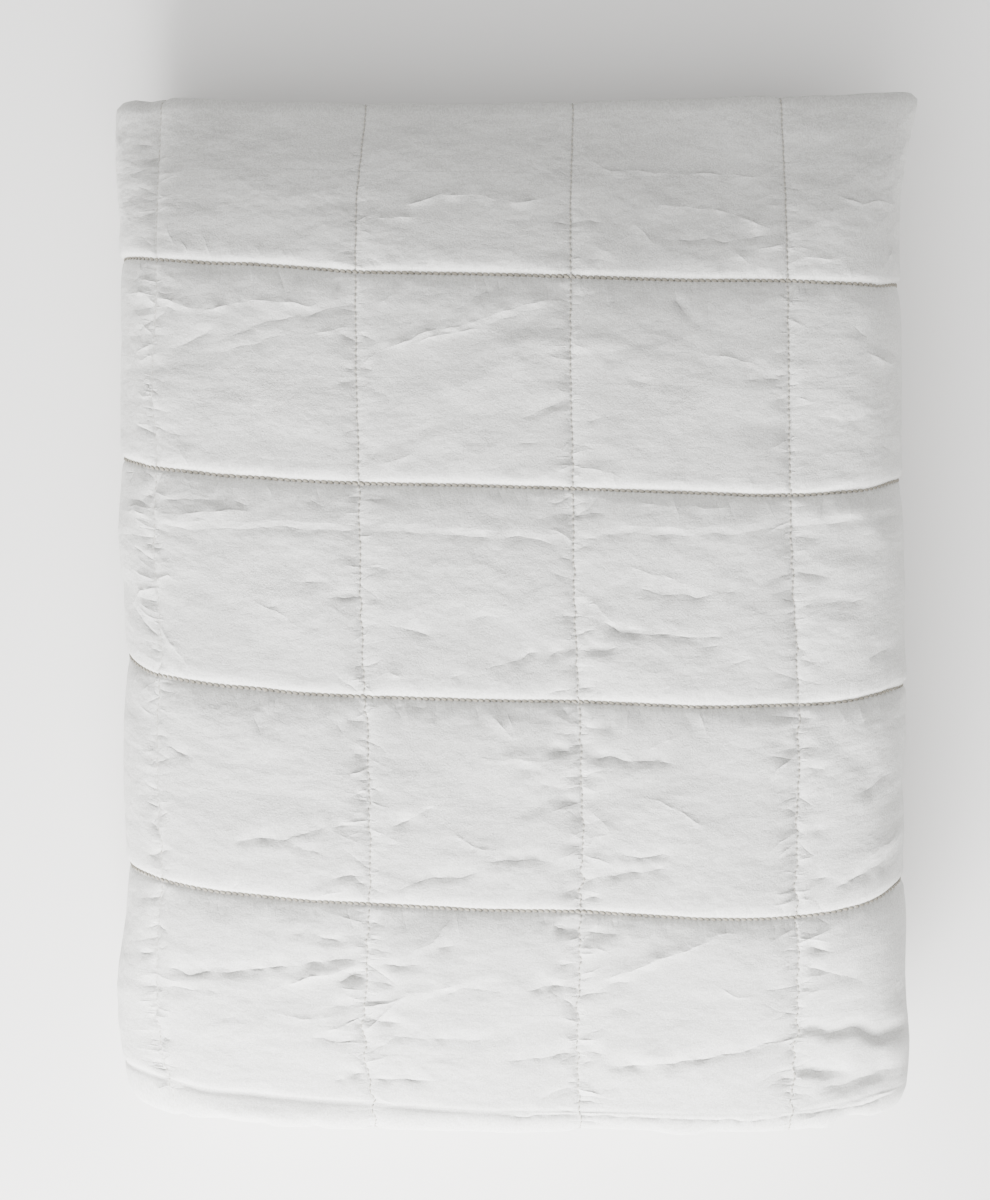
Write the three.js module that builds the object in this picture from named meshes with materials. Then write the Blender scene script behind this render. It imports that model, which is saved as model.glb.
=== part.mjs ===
import * as THREE from 'three';

// A quilt folded into a flat bundle, in millimetres. X runs across the bundle, Y from its
// front to its back and Z up. The cloth is first folded along its depth into a strip of
// four plies, and the strip is then rolled flat across the width in five layers.

// Driving sizes
const bundleWidth = 460;
const bundleDepth = 600;
const sheetThickness = 5.4;
const plyGap = 1;
const squareSize = 120;

// Relief of the quilted squares on the face that shows, and the flattened hems
const crownRise = 1.6;
const seamDip = 2.2;
const hemThickness = 3.2;

// How far the hems stop short of the fold behind them, and the strip's two ends of its bends
const innerHemBack = 5;
const outerHemBack = 12;
const innerEndBack = 4;
const lowerEndOut = 14;

// Sizes that follow from these
const plyPitch = sheetThickness + plyGap;
const stripPitch = 4 * plyPitch;
const halfStrip = (stripPitch - plyGap) / 2;
const outerPly = 1.5 * plyPitch;
const innerPly = 0.5 * plyPitch;
const frontLine = -bundleDepth / 2 + outerPly + sheetThickness / 2;
const backLine = bundleDepth / 2 - innerPly - sheetThickness / 2;

// The layers of the strip in the order in which it is rolled, from the inside out. way is
// the side that the layer runs to, +1 right. front and back say how far its folded edges
// stand out past the layer on top.
const layers = [
  { level: 2, way: 1, front: -5, back: 3 },
  { level: 3, way: -1, front: 1, back: -6 },
  { level: 1, way: 1, front: -4, back: 4 },
  { level: 4, way: -1, front: 0, back: 0 },
  { level: 0, way: 1, front: -2, back: -3 },
];
const topLayer = 3;

// The two sides that the strip turns at. wall is the upright stretch between the upper and
// the lower corner of each bend, and upper and lower are the lines that run along a corner,
// in degrees from its start.
const sides = {
  right: { wall: 0, upper: [0, 30, 61, 90], lower: [0, 29, 60, 90] },
  left: { wall: 18.4, upper: [0, 27.5, 58, 90], lower: [0, 26, 50, 90] },
};
const rightCentre = bundleWidth / 2 - halfStrip - 1.5 * stripPitch;
const leftCentre = -bundleWidth / 2 + halfStrip + 2 * stripPitch - sides.left.wall / 2;

// Sewn lines that cross the top layer, and those that run along the top ply. Each is a
// distance along the cloth, equal to X or Y where the cloth lies flat. They lie one square
// apart but for the few millimetres that the cloth has crept at each line.
const firstCrossSeam = -322;
const firstDepthSeam = 315;
const crossSeams = [0, 0, -2, -3, 0, 0].map((creep, n) => firstCrossSeam + n * squareSize + creep);
const depthSeams = [0, 0, 0, 0, 0, -1].map((creep, n) => firstDepthSeam - n * squareSize + creep);

// Where lines of the mesh cross a square, as parts of it, and how near they may lie
const squareParts = [0, 0.22, 0.5, 0.78];
const closestLines = 7;

// Height of the settled bundle. drop is how far the top lies below the crown of the bundle.
const widthProfile = [
  { x: leftCentre, drop: 6 },
  { x: -110, drop: 0 },
  { x: 131, drop: 0 },
  { x: rightCentre, drop: 6 },
];
const depthProfile = [
  { y: -294, drop: 15 },
  { y: -225, drop: 3 },
  { y: -191, drop: 0 },
  { y: 195, drop: 0 },
  { y: 221, drop: 4 },
  { y: 255, drop: 15 },
  { y: 300, drop: 38 },
];

// How the corners of the bundle are pulled. side and end name the corner, out is along X
// away from the middle and back is along Y.
const corners = [
  { side: 1, end: 1, out: 8, back: 5 },
  { side: 1, end: -1, out: 1, back: 8 },
  { side: -1, end: 1, out: -1, back: -5 },
  { side: -1, end: -1, out: -2, back: 19 },
];
const cornerReachX = 70;
const cornerReachY = 90;

// The bundle leans a little to the right at the front. Away from the ends its sewn lines
// run a little down to the right, and towards both sides they turn to the back.
const frontLean = 0.011;
const seamLean = 0.02;
const sideSweep = 8;
const endZone = 200;

// Reads a value from rows that run upwards along a key, with straight lines between them.
function profile(rows, key, value, at) {
  let i = 1;
  while (i < rows.length - 1 && at > rows[i][key]) {
    i += 1;
  }
  const a = rows[i - 1];
  const b = rows[i];
  return a[value] + ((b[value] - a[value]) * (at - a[key])) / (b[key] - a[key]);
}

function ramp(at, start, end) {
  return Math.min(1, Math.max(0, (at - start) / (end - start)));
}

// Height of a quilted square's crown between the sewn lines, from 0 on a line to 1.
function crown(at, seams) {
  const above = seams.filter((seam) => seam >= at - 1e-6);
  const below = seams.filter((seam) => seam < at - 1e-6);
  if (above.length === 0 || below.length === 0) {
    return 1;
  }
  const low = Math.max(...below);
  const high = Math.min(...above);
  const part = (at - low) / (high - low);
  return Math.sqrt(Math.max(0, 4 * part * (1 - part)));
}

// Lines between two ends: those of the list that lie inside, in running order, and not
// nearer to each other than the closest that two lines may lie.
function linesBetween(start, end, lines) {
  const ordered = [...lines].sort((a, b) => (start < end ? a - b : b - a));
  const kept = [start];
  for (const line of ordered) {
    const along = start < end ? line - kept[kept.length - 1] : kept[kept.length - 1] - line;
    if (along > closestLines && Math.abs(end - line) > closestLines && (line - start) * (end - line) > 0) {
      kept.push(line);
    }
  }
  return [...kept, end];
}

// Lines on each sewn line and at three places between it and the next.
function quiltLines(seams) {
  const lines = [];
  for (let i = 0; i + 1 < seams.length; i += 1) {
    for (const part of squareParts) {
      lines.push(seams[i] + part * (seams[i + 1] - seams[i]));
    }
  }
  return lines;
}

function levelHeight(level) {
  return (level + 0.5) * stripPitch - plyGap / 2;
}

// The middle of the strip across the bundle. A station has its place, the direction that
// faces out of the roll, and along, its distance on the outer ply from the top layer's X.
function stripStations() {
  const stations = [];
  const add = (x, z, angle, row, shows, along) => {
    stations.push({ x, z, outX: Math.cos(angle), outZ: Math.sin(angle), row, shows, along });
  };
  layers.forEach((layer, index) => {
    const onTop = index === topLayer;
    const start = layer.way > 0 ? leftCentre : rightCentre;
    const first = index === 0 ? leftCentre + innerEndBack : start;
    const end = layer.way > 0 ? rightCentre : leftCentre;
    const last = index === layers.length - 1 ? rightCentre + lowerEndOut : end;
    const knots = widthProfile.map((row) => row.x);
    const lines = onTop ? quiltLines(crossSeams.slice(1)) : knots;
    const facing = layer.way > 0 ? -Math.PI / 2 : Math.PI / 2;
    const xs = linesBetween(first, last, lines);
    const z = levelHeight(layer.level);
    xs.forEach((x) => add(x, z, facing, index, onTop ? 1 : 0, x));
    if (index === layers.length - 1) {
      return;
    }
    const next = layers[index + 1];
    const side = layer.way > 0 ? sides.right : sides.left;
    const rise = Math.abs(next.level - layer.level) * stripPitch;
    const radius = (rise - side.wall) / 2;
    const shown = index >= topLayer - 1;
    const upward = next.level > layer.level;
    const quarter = Math.PI / 2;
    const outerLength = (radius + outerPly) * quarter;
    const turn = (stops, startAngle, centreZ, startAlong) => {
      stops.slice(1).forEach((stop) => {
        const bend = (stop / 90) * quarter;
        const angle = startAngle + bend;
        const x = last + radius * Math.cos(angle);
        const done = startAlong - (radius + outerPly) * bend;
        const part = (startAngle + bend + quarter) / Math.PI;
        const blend = index + (upward ? part : part - 1);
        add(x, centreZ + radius * Math.sin(angle), angle, blend, shown ? 1 : 0, done);
      });
    };
    if (upward) {
      const total = 2 * outerLength + side.wall;
      turn(side.lower, -quarter, z + radius, last + total);
      turn(side.upper, 0, z + radius + side.wall, last + total - outerLength - side.wall);
    } else {
      turn(side.upper, quarter, z - radius, last);
      const low = levelHeight(next.level) + radius;
      add(last - radius, low, Math.PI, index + 0.5, shown ? 1 : 0, last - outerLength - side.wall);
      turn(side.lower, Math.PI, low, last - outerLength - side.wall);
    }
    stations.pop();
  });
  return stations;
}

// The middle of the cloth along the strip's depth, across its four plies. out is the
// distance from the middle of the strip towards the outside of the roll.
function plyStations() {
  const stations = [];
  const add = (y, out, angle, end, shows, along, thickness) => {
    stations.push({ y, out, faceY: Math.cos(angle), faceOut: Math.sin(angle), end, shows, along, thickness });
  };
  const knots = depthProfile.map((row) => row.y);
  const up = Math.PI / 2;
  const run = (start, end, lines, out, angle, shows, hem) => {
    linesBetween(start, end, lines).forEach((y) => {
      const toFront = y < -endZone ? -1 : 0;
      const atEnd = y > endZone ? 1 : toFront;
      add(y, out, angle, atEnd, shows, y, y === hem ? hemThickness : sheetThickness);
    });
  };
  const bend = (centreY, centreOut, radius, angles, outward, shows) => {
    angles.forEach((degrees) => {
      const angle = (degrees * Math.PI) / 180;
      const y = centreY + radius * Math.cos(angle);
      const out = centreOut + radius * Math.sin(angle);
      const facing = outward ? angle : angle + Math.PI;
      const along = centreY + (Math.PI / 2 - angle) * radius;
      add(y, out, facing, Math.sign(centreY), shows, along, sheetThickness);
    });
  };
  const innerHem = backLine - innerHemBack;
  const outerHem = backLine - outerHemBack;
  run(innerHem, frontLine, knots, -innerPly, up, 0, innerHem);
  bend(frontLine, 0, innerPly, [240, 180, 120], false, 0);
  run(frontLine, backLine, knots, innerPly, -up, 0, null);
  bend(backLine, plyPitch, innerPly, [-30, 30], true, 1);
  run(backLine, frontLine, [...quiltLines(depthSeams), ...knots], outerPly, up, 1, null);
  bend(frontLine, 0, outerPly, [110, 145, 180, 220], true, 1);
  run(frontLine, outerHem, knots, -outerPly, -up, 0, outerHem);
  return stations;
}

// The bundle as it settles: height first, then corners, lean and the sweep of the lines.
function settle(x, y, z) {
  const nearX = Math.min(rightCentre, Math.max(leftCentre, x));
  const fall = profile(widthProfile, 'x', 'drop', nearX) + profile(depthProfile, 'y', 'drop', y);
  const height = z * (1 - fall / (layers.length * stripPitch));
  let across = x;
  let along = y;
  for (const corner of corners) {
    const nearSide = ramp(corner.side * x, bundleWidth / 2 - cornerReachX, bundleWidth / 2);
    const nearEnd = ramp(corner.end * y, bundleDepth / 2 - cornerReachY, bundleDepth / 2);
    across += corner.side * corner.out * nearSide * nearEnd;
    along += corner.back * nearSide * nearEnd;
  }
  const middle = 1 - ramp(Math.abs(y), endZone, bundleDepth / 2);
  const side = ramp(Math.abs(x), rightCentre, bundleWidth / 2);
  across -= frontLean * y;
  along += middle * (sideSweep * side - seamLean * x);
  return [across, along, height];
}

function layerValue(row, key) {
  const low = Math.floor(row);
  const high = Math.min(layers.length - 1, low + 1);
  return layers[low][key] + (layers[high][key] - layers[low][key]) * (row - low);
}

// A point of the cloth: its place in the strip's section, carried round the roll.
function clothPoint(strip, ply, face) {
  const pad = crown(strip.along, crossSeams) * crown(ply.along, depthSeams);
  const relief = face > 0 && strip.shows && ply.shows ? (crownRise + seamDip) * pad - seamDip : 0;
  const offset = (face * ply.thickness) / 2 + relief;
  const reach = ply.end > 0 ? layerValue(strip.row, 'back') : -layerValue(strip.row, 'front');
  const y = ply.y + offset * ply.faceY + Math.abs(ply.end) * reach;
  const out = ply.out + offset * ply.faceOut;
  return settle(strip.x + out * strip.outX, y, strip.z + out * strip.outZ);
}

function quiltGeometry() {
  const strips = stripStations();
  const plies = plyStations();
  const positions = [];
  for (const face of [1, -1]) {
    for (const strip of strips) {
      for (const ply of plies) {
        positions.push(...clothPoint(strip, ply, face));
      }
    }
  }
  const across = strips.length;
  const deep = plies.length;
  const index = [];
  const id = (face, i, j) => (face * across + i) * deep + j;
  const quad = (a, b, c, d) => index.push(a, b, c, a, c, d);
  // Cells are cut along the same diagonal in every ply, so that the plies stay apart.
  const cell = (a, b, c, d, turned) => (turned ? quad(b, c, d, a) : quad(a, b, c, d));
  for (let i = 0; i + 1 < across; i += 1) {
    const level = Math.abs(strips[i + 1].z - strips[i].z) < 1;
    const toLeft = level && strips[i + 1].x < strips[i].x;
    for (let j = 0; j + 1 < deep; j += 1) {
      const turned = toLeft !== plies[j + 1].y < plies[j].y;
      cell(id(0, i, j), id(0, i + 1, j), id(0, i + 1, j + 1), id(0, i, j + 1), turned);
      cell(id(1, i, j), id(1, i, j + 1), id(1, i + 1, j + 1), id(1, i + 1, j), turned);
    }
    quad(id(0, i, 0), id(1, i, 0), id(1, i + 1, 0), id(0, i + 1, 0));
    quad(id(0, i, deep - 1), id(0, i + 1, deep - 1), id(1, i + 1, deep - 1), id(1, i, deep - 1));
  }
  for (let j = 0; j + 1 < deep; j += 1) {
    quad(id(0, 0, j), id(0, 0, j + 1), id(1, 0, j + 1), id(1, 0, j));
    quad(id(0, across - 1, j), id(1, across - 1, j), id(1, across - 1, j + 1), id(0, across - 1, j + 1));
  }
  const geometry = new THREE.BufferGeometry();
  geometry.setAttribute('position', new THREE.Float32BufferAttribute(positions, 3));
  geometry.setIndex(index);
  geometry.computeBoundingBox();
  const middle = geometry.boundingBox.getCenter(new THREE.Vector3());
  return geometry.translate(-middle.x, -middle.y, -geometry.boundingBox.min.z);
}

const washedCotton = new THREE.MeshStandardMaterial({ color: '#dcdcd9', roughness: 0.95, metalness: 0 });
const quilt = new THREE.Mesh(quiltGeometry(), washedCotton);
quilt.name = 'quilt';

const bundle = new THREE.Group();
bundle.add(quilt);

export default bundle;
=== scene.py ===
import math

import bpy
import numpy as np
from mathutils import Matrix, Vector


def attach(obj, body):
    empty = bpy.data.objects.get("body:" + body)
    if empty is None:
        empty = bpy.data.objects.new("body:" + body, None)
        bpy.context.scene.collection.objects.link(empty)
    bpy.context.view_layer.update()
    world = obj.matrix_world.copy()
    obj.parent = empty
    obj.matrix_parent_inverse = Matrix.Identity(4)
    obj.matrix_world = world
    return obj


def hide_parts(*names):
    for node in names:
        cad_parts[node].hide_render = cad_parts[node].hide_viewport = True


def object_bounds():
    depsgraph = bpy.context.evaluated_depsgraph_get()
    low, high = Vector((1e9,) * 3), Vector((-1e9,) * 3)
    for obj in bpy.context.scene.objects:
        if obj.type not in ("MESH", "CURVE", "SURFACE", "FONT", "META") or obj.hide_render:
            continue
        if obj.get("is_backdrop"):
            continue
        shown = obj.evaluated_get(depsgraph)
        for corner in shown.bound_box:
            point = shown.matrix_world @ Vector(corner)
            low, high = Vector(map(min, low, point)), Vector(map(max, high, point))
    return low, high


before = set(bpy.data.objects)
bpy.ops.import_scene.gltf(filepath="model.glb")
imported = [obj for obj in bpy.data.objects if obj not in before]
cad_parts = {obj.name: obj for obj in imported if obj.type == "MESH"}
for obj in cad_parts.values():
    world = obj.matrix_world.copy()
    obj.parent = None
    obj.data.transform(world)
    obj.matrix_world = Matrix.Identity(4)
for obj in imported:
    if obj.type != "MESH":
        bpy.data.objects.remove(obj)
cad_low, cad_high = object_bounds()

# The camera. It stands about a metre above the bundle and looks down at it, three degrees
# off the vertical. One pixel of the photograph is PIXEL_MM on the plane of the bundle's top.
MM = 0.001  # lengths are worked out in millimetres and kept in metres
PHOTO_HEIGHT = 1200
PIXEL_MM = 0.563
TOP_HEIGHT = 127
CAMERA_ABOVE_TOP = 1050
CAMERA_TILT = math.radians(3)
PHOTO_MIDDLE = (-11.7, 10.3)  # where the middle of the photograph falls on the top
SENSOR = 36

camera_data = bpy.data.cameras.new("camera")
camera = bpy.data.objects.new("camera", camera_data)
bpy.context.scene.collection.objects.link(camera)
focal_pixels = CAMERA_ABOVE_TOP / (PIXEL_MM * math.cos(CAMERA_TILT))
camera_data.sensor_width = SENSOR
camera_data.lens = SENSOR * focal_pixels / PHOTO_HEIGHT
camera.location = (
    PHOTO_MIDDLE[0] * MM,
    (PHOTO_MIDDLE[1] + CAMERA_ABOVE_TOP * math.tan(CAMERA_TILT)) * MM,
    (TOP_HEIGHT + CAMERA_ABOVE_TOP) * MM,
)
camera.rotation_euler = (-CAMERA_TILT, 0, 0)
bpy.context.scene.camera = camera


# The quilt: one sheet of two washed-cotton faces with a wadding between them, sewn through
# along a square grid. It is folded twice along its depth into a strip of four plies, and the
# strip is rolled flat in five layers, on the same folds as the solid that it stands for.
BUNDLE_WIDTH = 460
BUNDLE_DEPTH = 600
SHEET = 5.4
PLY_GAP = 1
PLY_PITCH = SHEET + PLY_GAP
STRIP_PITCH = 4 * PLY_PITCH
HALF_STRIP = (STRIP_PITCH - PLY_GAP) / 2
OUTER_PLY = 1.5 * PLY_PITCH
INNER_PLY = 0.5 * PLY_PITCH
FRONT_LINE = -BUNDLE_DEPTH / 2 + OUTER_PLY + SHEET / 2
BACK_LINE = BUNDLE_DEPTH / 2 - INNER_PLY - SHEET / 2
LEFT_WALL = 18.4
RIGHT_CENTRE = BUNDLE_WIDTH / 2 - HALF_STRIP - 1.5 * STRIP_PITCH
LEFT_CENTRE = -BUNDLE_WIDTH / 2 + HALF_STRIP + 2 * STRIP_PITCH - LEFT_WALL / 2
INNER_HEM_BACK, OUTER_HEM_BACK = 5, 12
INNER_END_BACK, LOWER_END_OUT = 4, 14
BOX_MIDDLE = (0.53, 2.7)  # the middle of the folded cloth's box before it is centred

# Layers of the strip from the inside of the roll out: the level from the bottom, the way
# it runs, and how far its front and back folds stand out.
LAYERS = [
    {"level": 2, "way": 1, "front": -5, "back": 3},
    {"level": 3, "way": -1, "front": 1, "back": -6},
    {"level": 1, "way": 1, "front": -4, "back": 4},
    {"level": 4, "way": -1, "front": 0, "back": 0},
    {"level": 0, "way": 1, "front": -2, "back": -3},
]
# Height of the settled bundle: places across it and along it, and the drop of the top there.
WIDTH_FALL = ([LEFT_CENTRE, -110, 131, RIGHT_CENTRE], [6, 0, 0, 6])
DEPTH_FALL = (
    [-310, -250, -225, -191, -130, -60, 0, 40, 110, 150, 195, 221, 255, 310],
    [25, 13, 9.2, 4.6, 1.4, 0.1, 0, 0.3, 2.4, 4.4, 8.4, 12.8, 23, 48],
)
# Corners: the side, the end, how far the corner is pulled out, and how far to the back.
CORNERS = [(1, 1, 8, 5), (1, -1, 1, 8), (-1, 1, -1, -5), (-1, -1, -2, 19)]
# Where the bundle has sunk a little more: a place, its reach across and along, and the depth.
SUNK_PLACES = [(95, 285, 70, 115, 13)]
# The outline: how far each edge stands out past its fold. Rows are places along the edge and
# the distance there; the upper layers follow it, the lowest one doesn't.
LEFT_EDGE = (
    [-275, -252, -243, -226, -215, -203, -187, -175, -159, -142, -130, -102, -74, -40, -12, 10, 38, 67, 123,
     151, 213, 235, 275, 300],
    [10.5, 10.5, 9.9, 9.3, 7.9, 5.4, 2.4, 1.4, 1.0, 1.0, 1.4, 1.8, 0.7, -1.6, -1.4, 0, 1.8, -0.2, -1.2,
     -1.8, -2, -0.3, 3.2, 4],
)
RIGHT_EDGE = (
    [-275, -263, -249, -237, -215, -187, -159, -142, -130, -102, -74, -46, -18, 10, 38, 67, 123, 162, 207,
     235, 247, 264, 275, 284, 295, 304],
    [4.3, 4.0, 2.8, 1.6, 0.3, -0.6, -0.9, -1.5, -1, -2.2, -0.4, 0.3, -1.3, -1, -1.8, -2.2, -2.6, -2, -2.6,
     -2.8, -3, -1.7, 0, 1.8, 4.6, 7],
)
BACK_EDGE = (
    [-234, -217, -212, -203, -197, -189, -178, -161, -141, -121, -93, -79, -37, -9, 19, 47, 76, 104, 126,
     149, 177, 194, 211, 216, 222, 232],
    [11.2, 9.2, 6, 6.6, 6.5, 4.6, 2.5, 0.3, -1.2, -1.4, -1.7, -1.7, -2.4, -2.3, -0.5, 0.9, 2.4, 3.2, 3.6,
     4.4, 3.2, 1.9, 2.4, 3, 3.2, 3.2],
)
FRONT_EDGE = (
    [-240, -218, -206, -192, -183, -175, -164, -155, -149, -143, -125, -120, -112, -96, -65, -20, 19, 47,
     75, 93, 103, 112, 132, 160, 171, 182, 188, 194, 200, 206, 212, 218, 232],
    [13, 11.5, 9.6, 2.8, -1.6, -4.5, -4.4, -4, -3.5, -1.6, -1.7, -3, -0.9, -0.1, 0.2, 1.2, 1.5, -0.2,
     0.9, 3.7, 3.7, 1.3, 1.8, 2.2, 1.3, 2.5, -0.2, -1.9, -0.7, 2.9, 3.9, 4.9, 6.5],
)
# Where the outline and the corners begin to stand out, and where they do so in full: heights,
# and distances from the middle.
UPPER_LAYERS = (20, 70)
LEFT_ZONE, RIGHT_ZONE = (204, 228), (198, 226)
REAR_ZONE, FRONT_ZONE = (268, 297), (288, 301)
CORNER_ZONE_X = (BUNDLE_WIDTH / 2 - 70, BUNDLE_WIDTH / 2 + 4)
CORNER_ZONE_Y = (BUNDLE_DEPTH / 2 - 90, BUNDLE_DEPTH / 2 + 4)
# How the seams lean and sweep: to the side for each millimetre along, to the front for each
# millimetre across, and back at the sides, less so towards the ends.
FRONT_LEAN, SEAM_LEAN, SIDE_SWEEP = 0.011, 0.02, 8
SWEEP_ZONE = (RIGHT_CENTRE - 20, BUNDLE_WIDTH / 2 + 5)
END_ZONE, END_SOFTNESS = 200, 50


def level_height(level):
    return (level + 0.5) * STRIP_PITCH - PLY_GAP / 2


def in_a_row(pieces, at):
    """Give each piece the distance at which it begins, one after the other."""
    for piece in pieces:
        piece["from"] = at
        at += piece["length"]
    return pieces


def strip_path():
    """The strip's middle across the bundle as pieces in a row. Each piece has its length on
    the outer ply. The distance is minus X on the top layer."""
    pieces = []
    quarter = math.pi / 2
    for n, layer in enumerate(LAYERS):
        way = layer["way"]
        first, last = (LEFT_CENTRE, RIGHT_CENTRE) if way > 0 else (RIGHT_CENTRE, LEFT_CENTRE)
        first += INNER_END_BACK if n == 0 else 0
        last += LOWER_END_OUT if n == len(LAYERS) - 1 else 0
        z = level_height(layer["level"])
        run = {"kind": "run", "length": abs(last - first), "x": first, "z": z, "way": way}
        pieces.append({**run, "layer": n})
        if n == len(LAYERS) - 1:
            break
        upper_level, lower_level = sorted((layer["level"], LAYERS[n + 1]["level"]), reverse=True)
        wall = 0 if way > 0 else LEFT_WALL
        radius = ((upper_level - lower_level) * STRIP_PITCH - wall) / 2
        low, high = level_height(lower_level) + radius, level_height(upper_level) - radius
        heights, start = ((low, high), -quarter) if way > 0 else ((high, low), quarter)
        arc = {"kind": "arc", "length": (radius + OUTER_PLY) * quarter, "x": last, "radius": radius}
        pieces.append({**arc, "z": heights[0], "start": start, "layer": n})
        if wall:
            pieces.append({"kind": "wall", "length": wall, "x": last - radius, "z": high, "layer": n})
        pieces.append({**arc, "z": heights[1], "start": start + quarter, "layer": n + 0.5})
    top = next(i for i, p in enumerate(pieces) if p["kind"] == "run" and p["layer"] == 3)
    return in_a_row(pieces, -RIGHT_CENTRE - sum(p["length"] for p in pieces[:top]))


def strip_at(distance):
    """Place of the strip's middle, the direction out of the roll, and the layer."""
    x, z, angle, layer = (np.zeros(distance.shape) for _ in range(4))
    for piece in STRIP:
        later = distance >= piece["from"] - 1e-6
        t = (distance - piece["from"])[later]
        if piece["kind"] == "run":
            x[later] = piece["x"] + piece["way"] * t
            z[later] = piece["z"]
            angle[later] = -piece["way"] * math.pi / 2
            layer[later] = piece["layer"]
        elif piece["kind"] == "arc":
            angle[later] = piece["start"] + t / (piece["radius"] + OUTER_PLY)
            x[later] = piece["x"] + piece["radius"] * np.cos(angle[later])
            z[later] = piece["z"] + piece["radius"] * np.sin(angle[later])
            layer[later] = piece["layer"] + 0.5 * t / piece["length"]
        else:
            x[later] = piece["x"]
            z[later] = piece["z"] - t
            angle[later] = math.pi
            layer[later] = piece["layer"] + 0.5
    return x, z, np.cos(angle), np.sin(angle), layer


def ply_path():
    """The cloth's middle along the bundle, ply by ply, as pieces in a row. The distance is
    minus Y on the top ply. out is measured from the strip's middle out of the roll."""
    half = math.pi / 2
    front = {"kind": "arc", "y": FRONT_LINE, "out": 0}
    back = {"kind": "arc", "y": BACK_LINE, "out": PLY_PITCH}
    inner_hem, outer_hem = BACK_LINE - INNER_HEM_BACK, BACK_LINE - OUTER_HEM_BACK
    pieces = [
        {"kind": "run", "y": inner_hem, "end": FRONT_LINE, "out": -INNER_PLY, "faces": 1},
        {**front, "radius": INNER_PLY, "start": 3 * half, "turn": -1},
        {"kind": "run", "y": FRONT_LINE, "end": BACK_LINE, "out": INNER_PLY, "faces": -1},
        {**back, "radius": INNER_PLY, "start": -half, "turn": 1},
        {"kind": "run", "y": BACK_LINE, "end": FRONT_LINE, "out": OUTER_PLY, "faces": 1},
        {**front, "radius": OUTER_PLY, "start": half, "turn": 1},
        {"kind": "run", "y": FRONT_LINE, "end": outer_hem, "out": -OUTER_PLY, "faces": -1},
    ]
    for piece in pieces:
        if piece["kind"] == "run":
            piece["length"] = abs(piece["end"] - piece["y"])
        else:
            piece["length"] = piece["radius"] * math.pi
    return in_a_row(pieces, -BACK_LINE - sum(p["length"] for p in pieces[:4]))


def ply_at(distance):
    """Place of the cloth's middle in the strip's section, and the direction it faces."""
    y, out, angle = (np.zeros(distance.shape) for _ in range(3))
    for piece in PLIES:
        later = distance >= piece["from"] - 1e-6
        t = (distance - piece["from"])[later]
        if piece["kind"] == "run":
            y[later] = piece["y"] + np.sign(piece["end"] - piece["y"]) * t
            out[later] = piece["out"]
            angle[later] = piece["faces"] * math.pi / 2
        else:
            around = piece["start"] + piece["turn"] * t / piece["radius"]
            y[later] = piece["y"] + piece["radius"] * np.cos(around)
            out[later] = piece["out"] + piece["radius"] * np.sin(around)
            angle[later] = around + (math.pi if piece["turn"] < 0 else 0)
    return y, out, np.cos(angle), np.sin(angle)


def smooth_step(value, start, end):
    t = np.clip((value - start) / (end - start), 0, 1)
    return t * t * (3 - 2 * t)


def soft_profile(rows, at, width=14, samples=7):
    """Straight lines between the rows' places, with their corners rounded off."""
    steps = np.linspace(-width, width, samples)
    return sum(np.interp(at + step, *rows) for step in steps) / samples


def settle(x, y, z):
    """The bundle as it settles: height first, then corners, lean and the sweep of the lines."""
    fall = soft_profile(WIDTH_FALL, x) + soft_profile(DEPTH_FALL, y)
    for place_x, place_y, reach_x, reach_y, depth in SUNK_PLACES:
        fall = fall + depth * np.exp(-(((x - place_x) / reach_x) ** 2) - ((y - place_y) / reach_y) ** 2)
    height = z * (1 - fall / (len(LAYERS) * STRIP_PITCH))
    across, along = x.copy(), y.copy()
    for side, end, out, back in CORNERS:
        near = smooth_step(side * x, *CORNER_ZONE_X) * smooth_step(end * y, *CORNER_ZONE_Y)
        across += side * out * near
        along += back * near
    across -= FRONT_LEAN * y + BOX_MIDDLE[0]
    upper = smooth_step(z, *UPPER_LAYERS)
    left = upper * smooth_step(-x, *LEFT_ZONE)
    right = upper * smooth_step(x, *RIGHT_ZONE)
    rear = upper * smooth_step(y, *REAR_ZONE)
    front = upper * smooth_step(-y, *FRONT_ZONE)
    across += right * np.interp(y, *RIGHT_EDGE) - left * np.interp(y, *LEFT_EDGE)
    along += rear * np.interp(x, *BACK_EDGE) - front * np.interp(x, *FRONT_EDGE)
    middle = 1 - smooth_step(np.abs(y), END_ZONE - 60, BUNDLE_DEPTH / 2)
    side_part = smooth_step(np.abs(x), *SWEEP_ZONE)
    along += middle * (SIDE_SWEEP * side_part - SEAM_LEAN * x) - BOX_MIDDLE[1]
    return np.stack([across, along, np.maximum(height, 0)], -1)


def cloth_point(u, v, offset):
    """Points of the cloth in millimetres: u along the strip, v across the plies, and offset
    from the middle of the cloth towards the face that shows."""
    strip_x, strip_z, out_x, out_z, layer = strip_at(u)
    y, out, face_y, face_out = ply_at(v)
    numbers = np.arange(len(LAYERS))
    fronts = np.interp(layer, numbers, [row["front"] for row in LAYERS])
    backs = np.interp(layer, numbers, [row["back"] for row in LAYERS])
    reach = backs * smooth_step(y, END_ZONE - END_SOFTNESS, END_ZONE + END_SOFTNESS)
    reach = reach - fronts * smooth_step(-y, END_ZONE - END_SOFTNESS, END_ZONE + END_SOFTNESS)
    y = y + offset * face_y + reach
    out = out + offset * face_out
    return settle(strip_x + out * out_x, y, strip_z + out * out_z)


STRIP = strip_path()
PLIES = ply_path()
STRIP_START, STRIP_END = STRIP[0]["from"], STRIP[-1]["from"] + STRIP[-1]["length"]
PLY_START, PLY_END = PLIES[0]["from"], PLIES[-1]["from"] + PLIES[-1]["length"]

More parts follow.
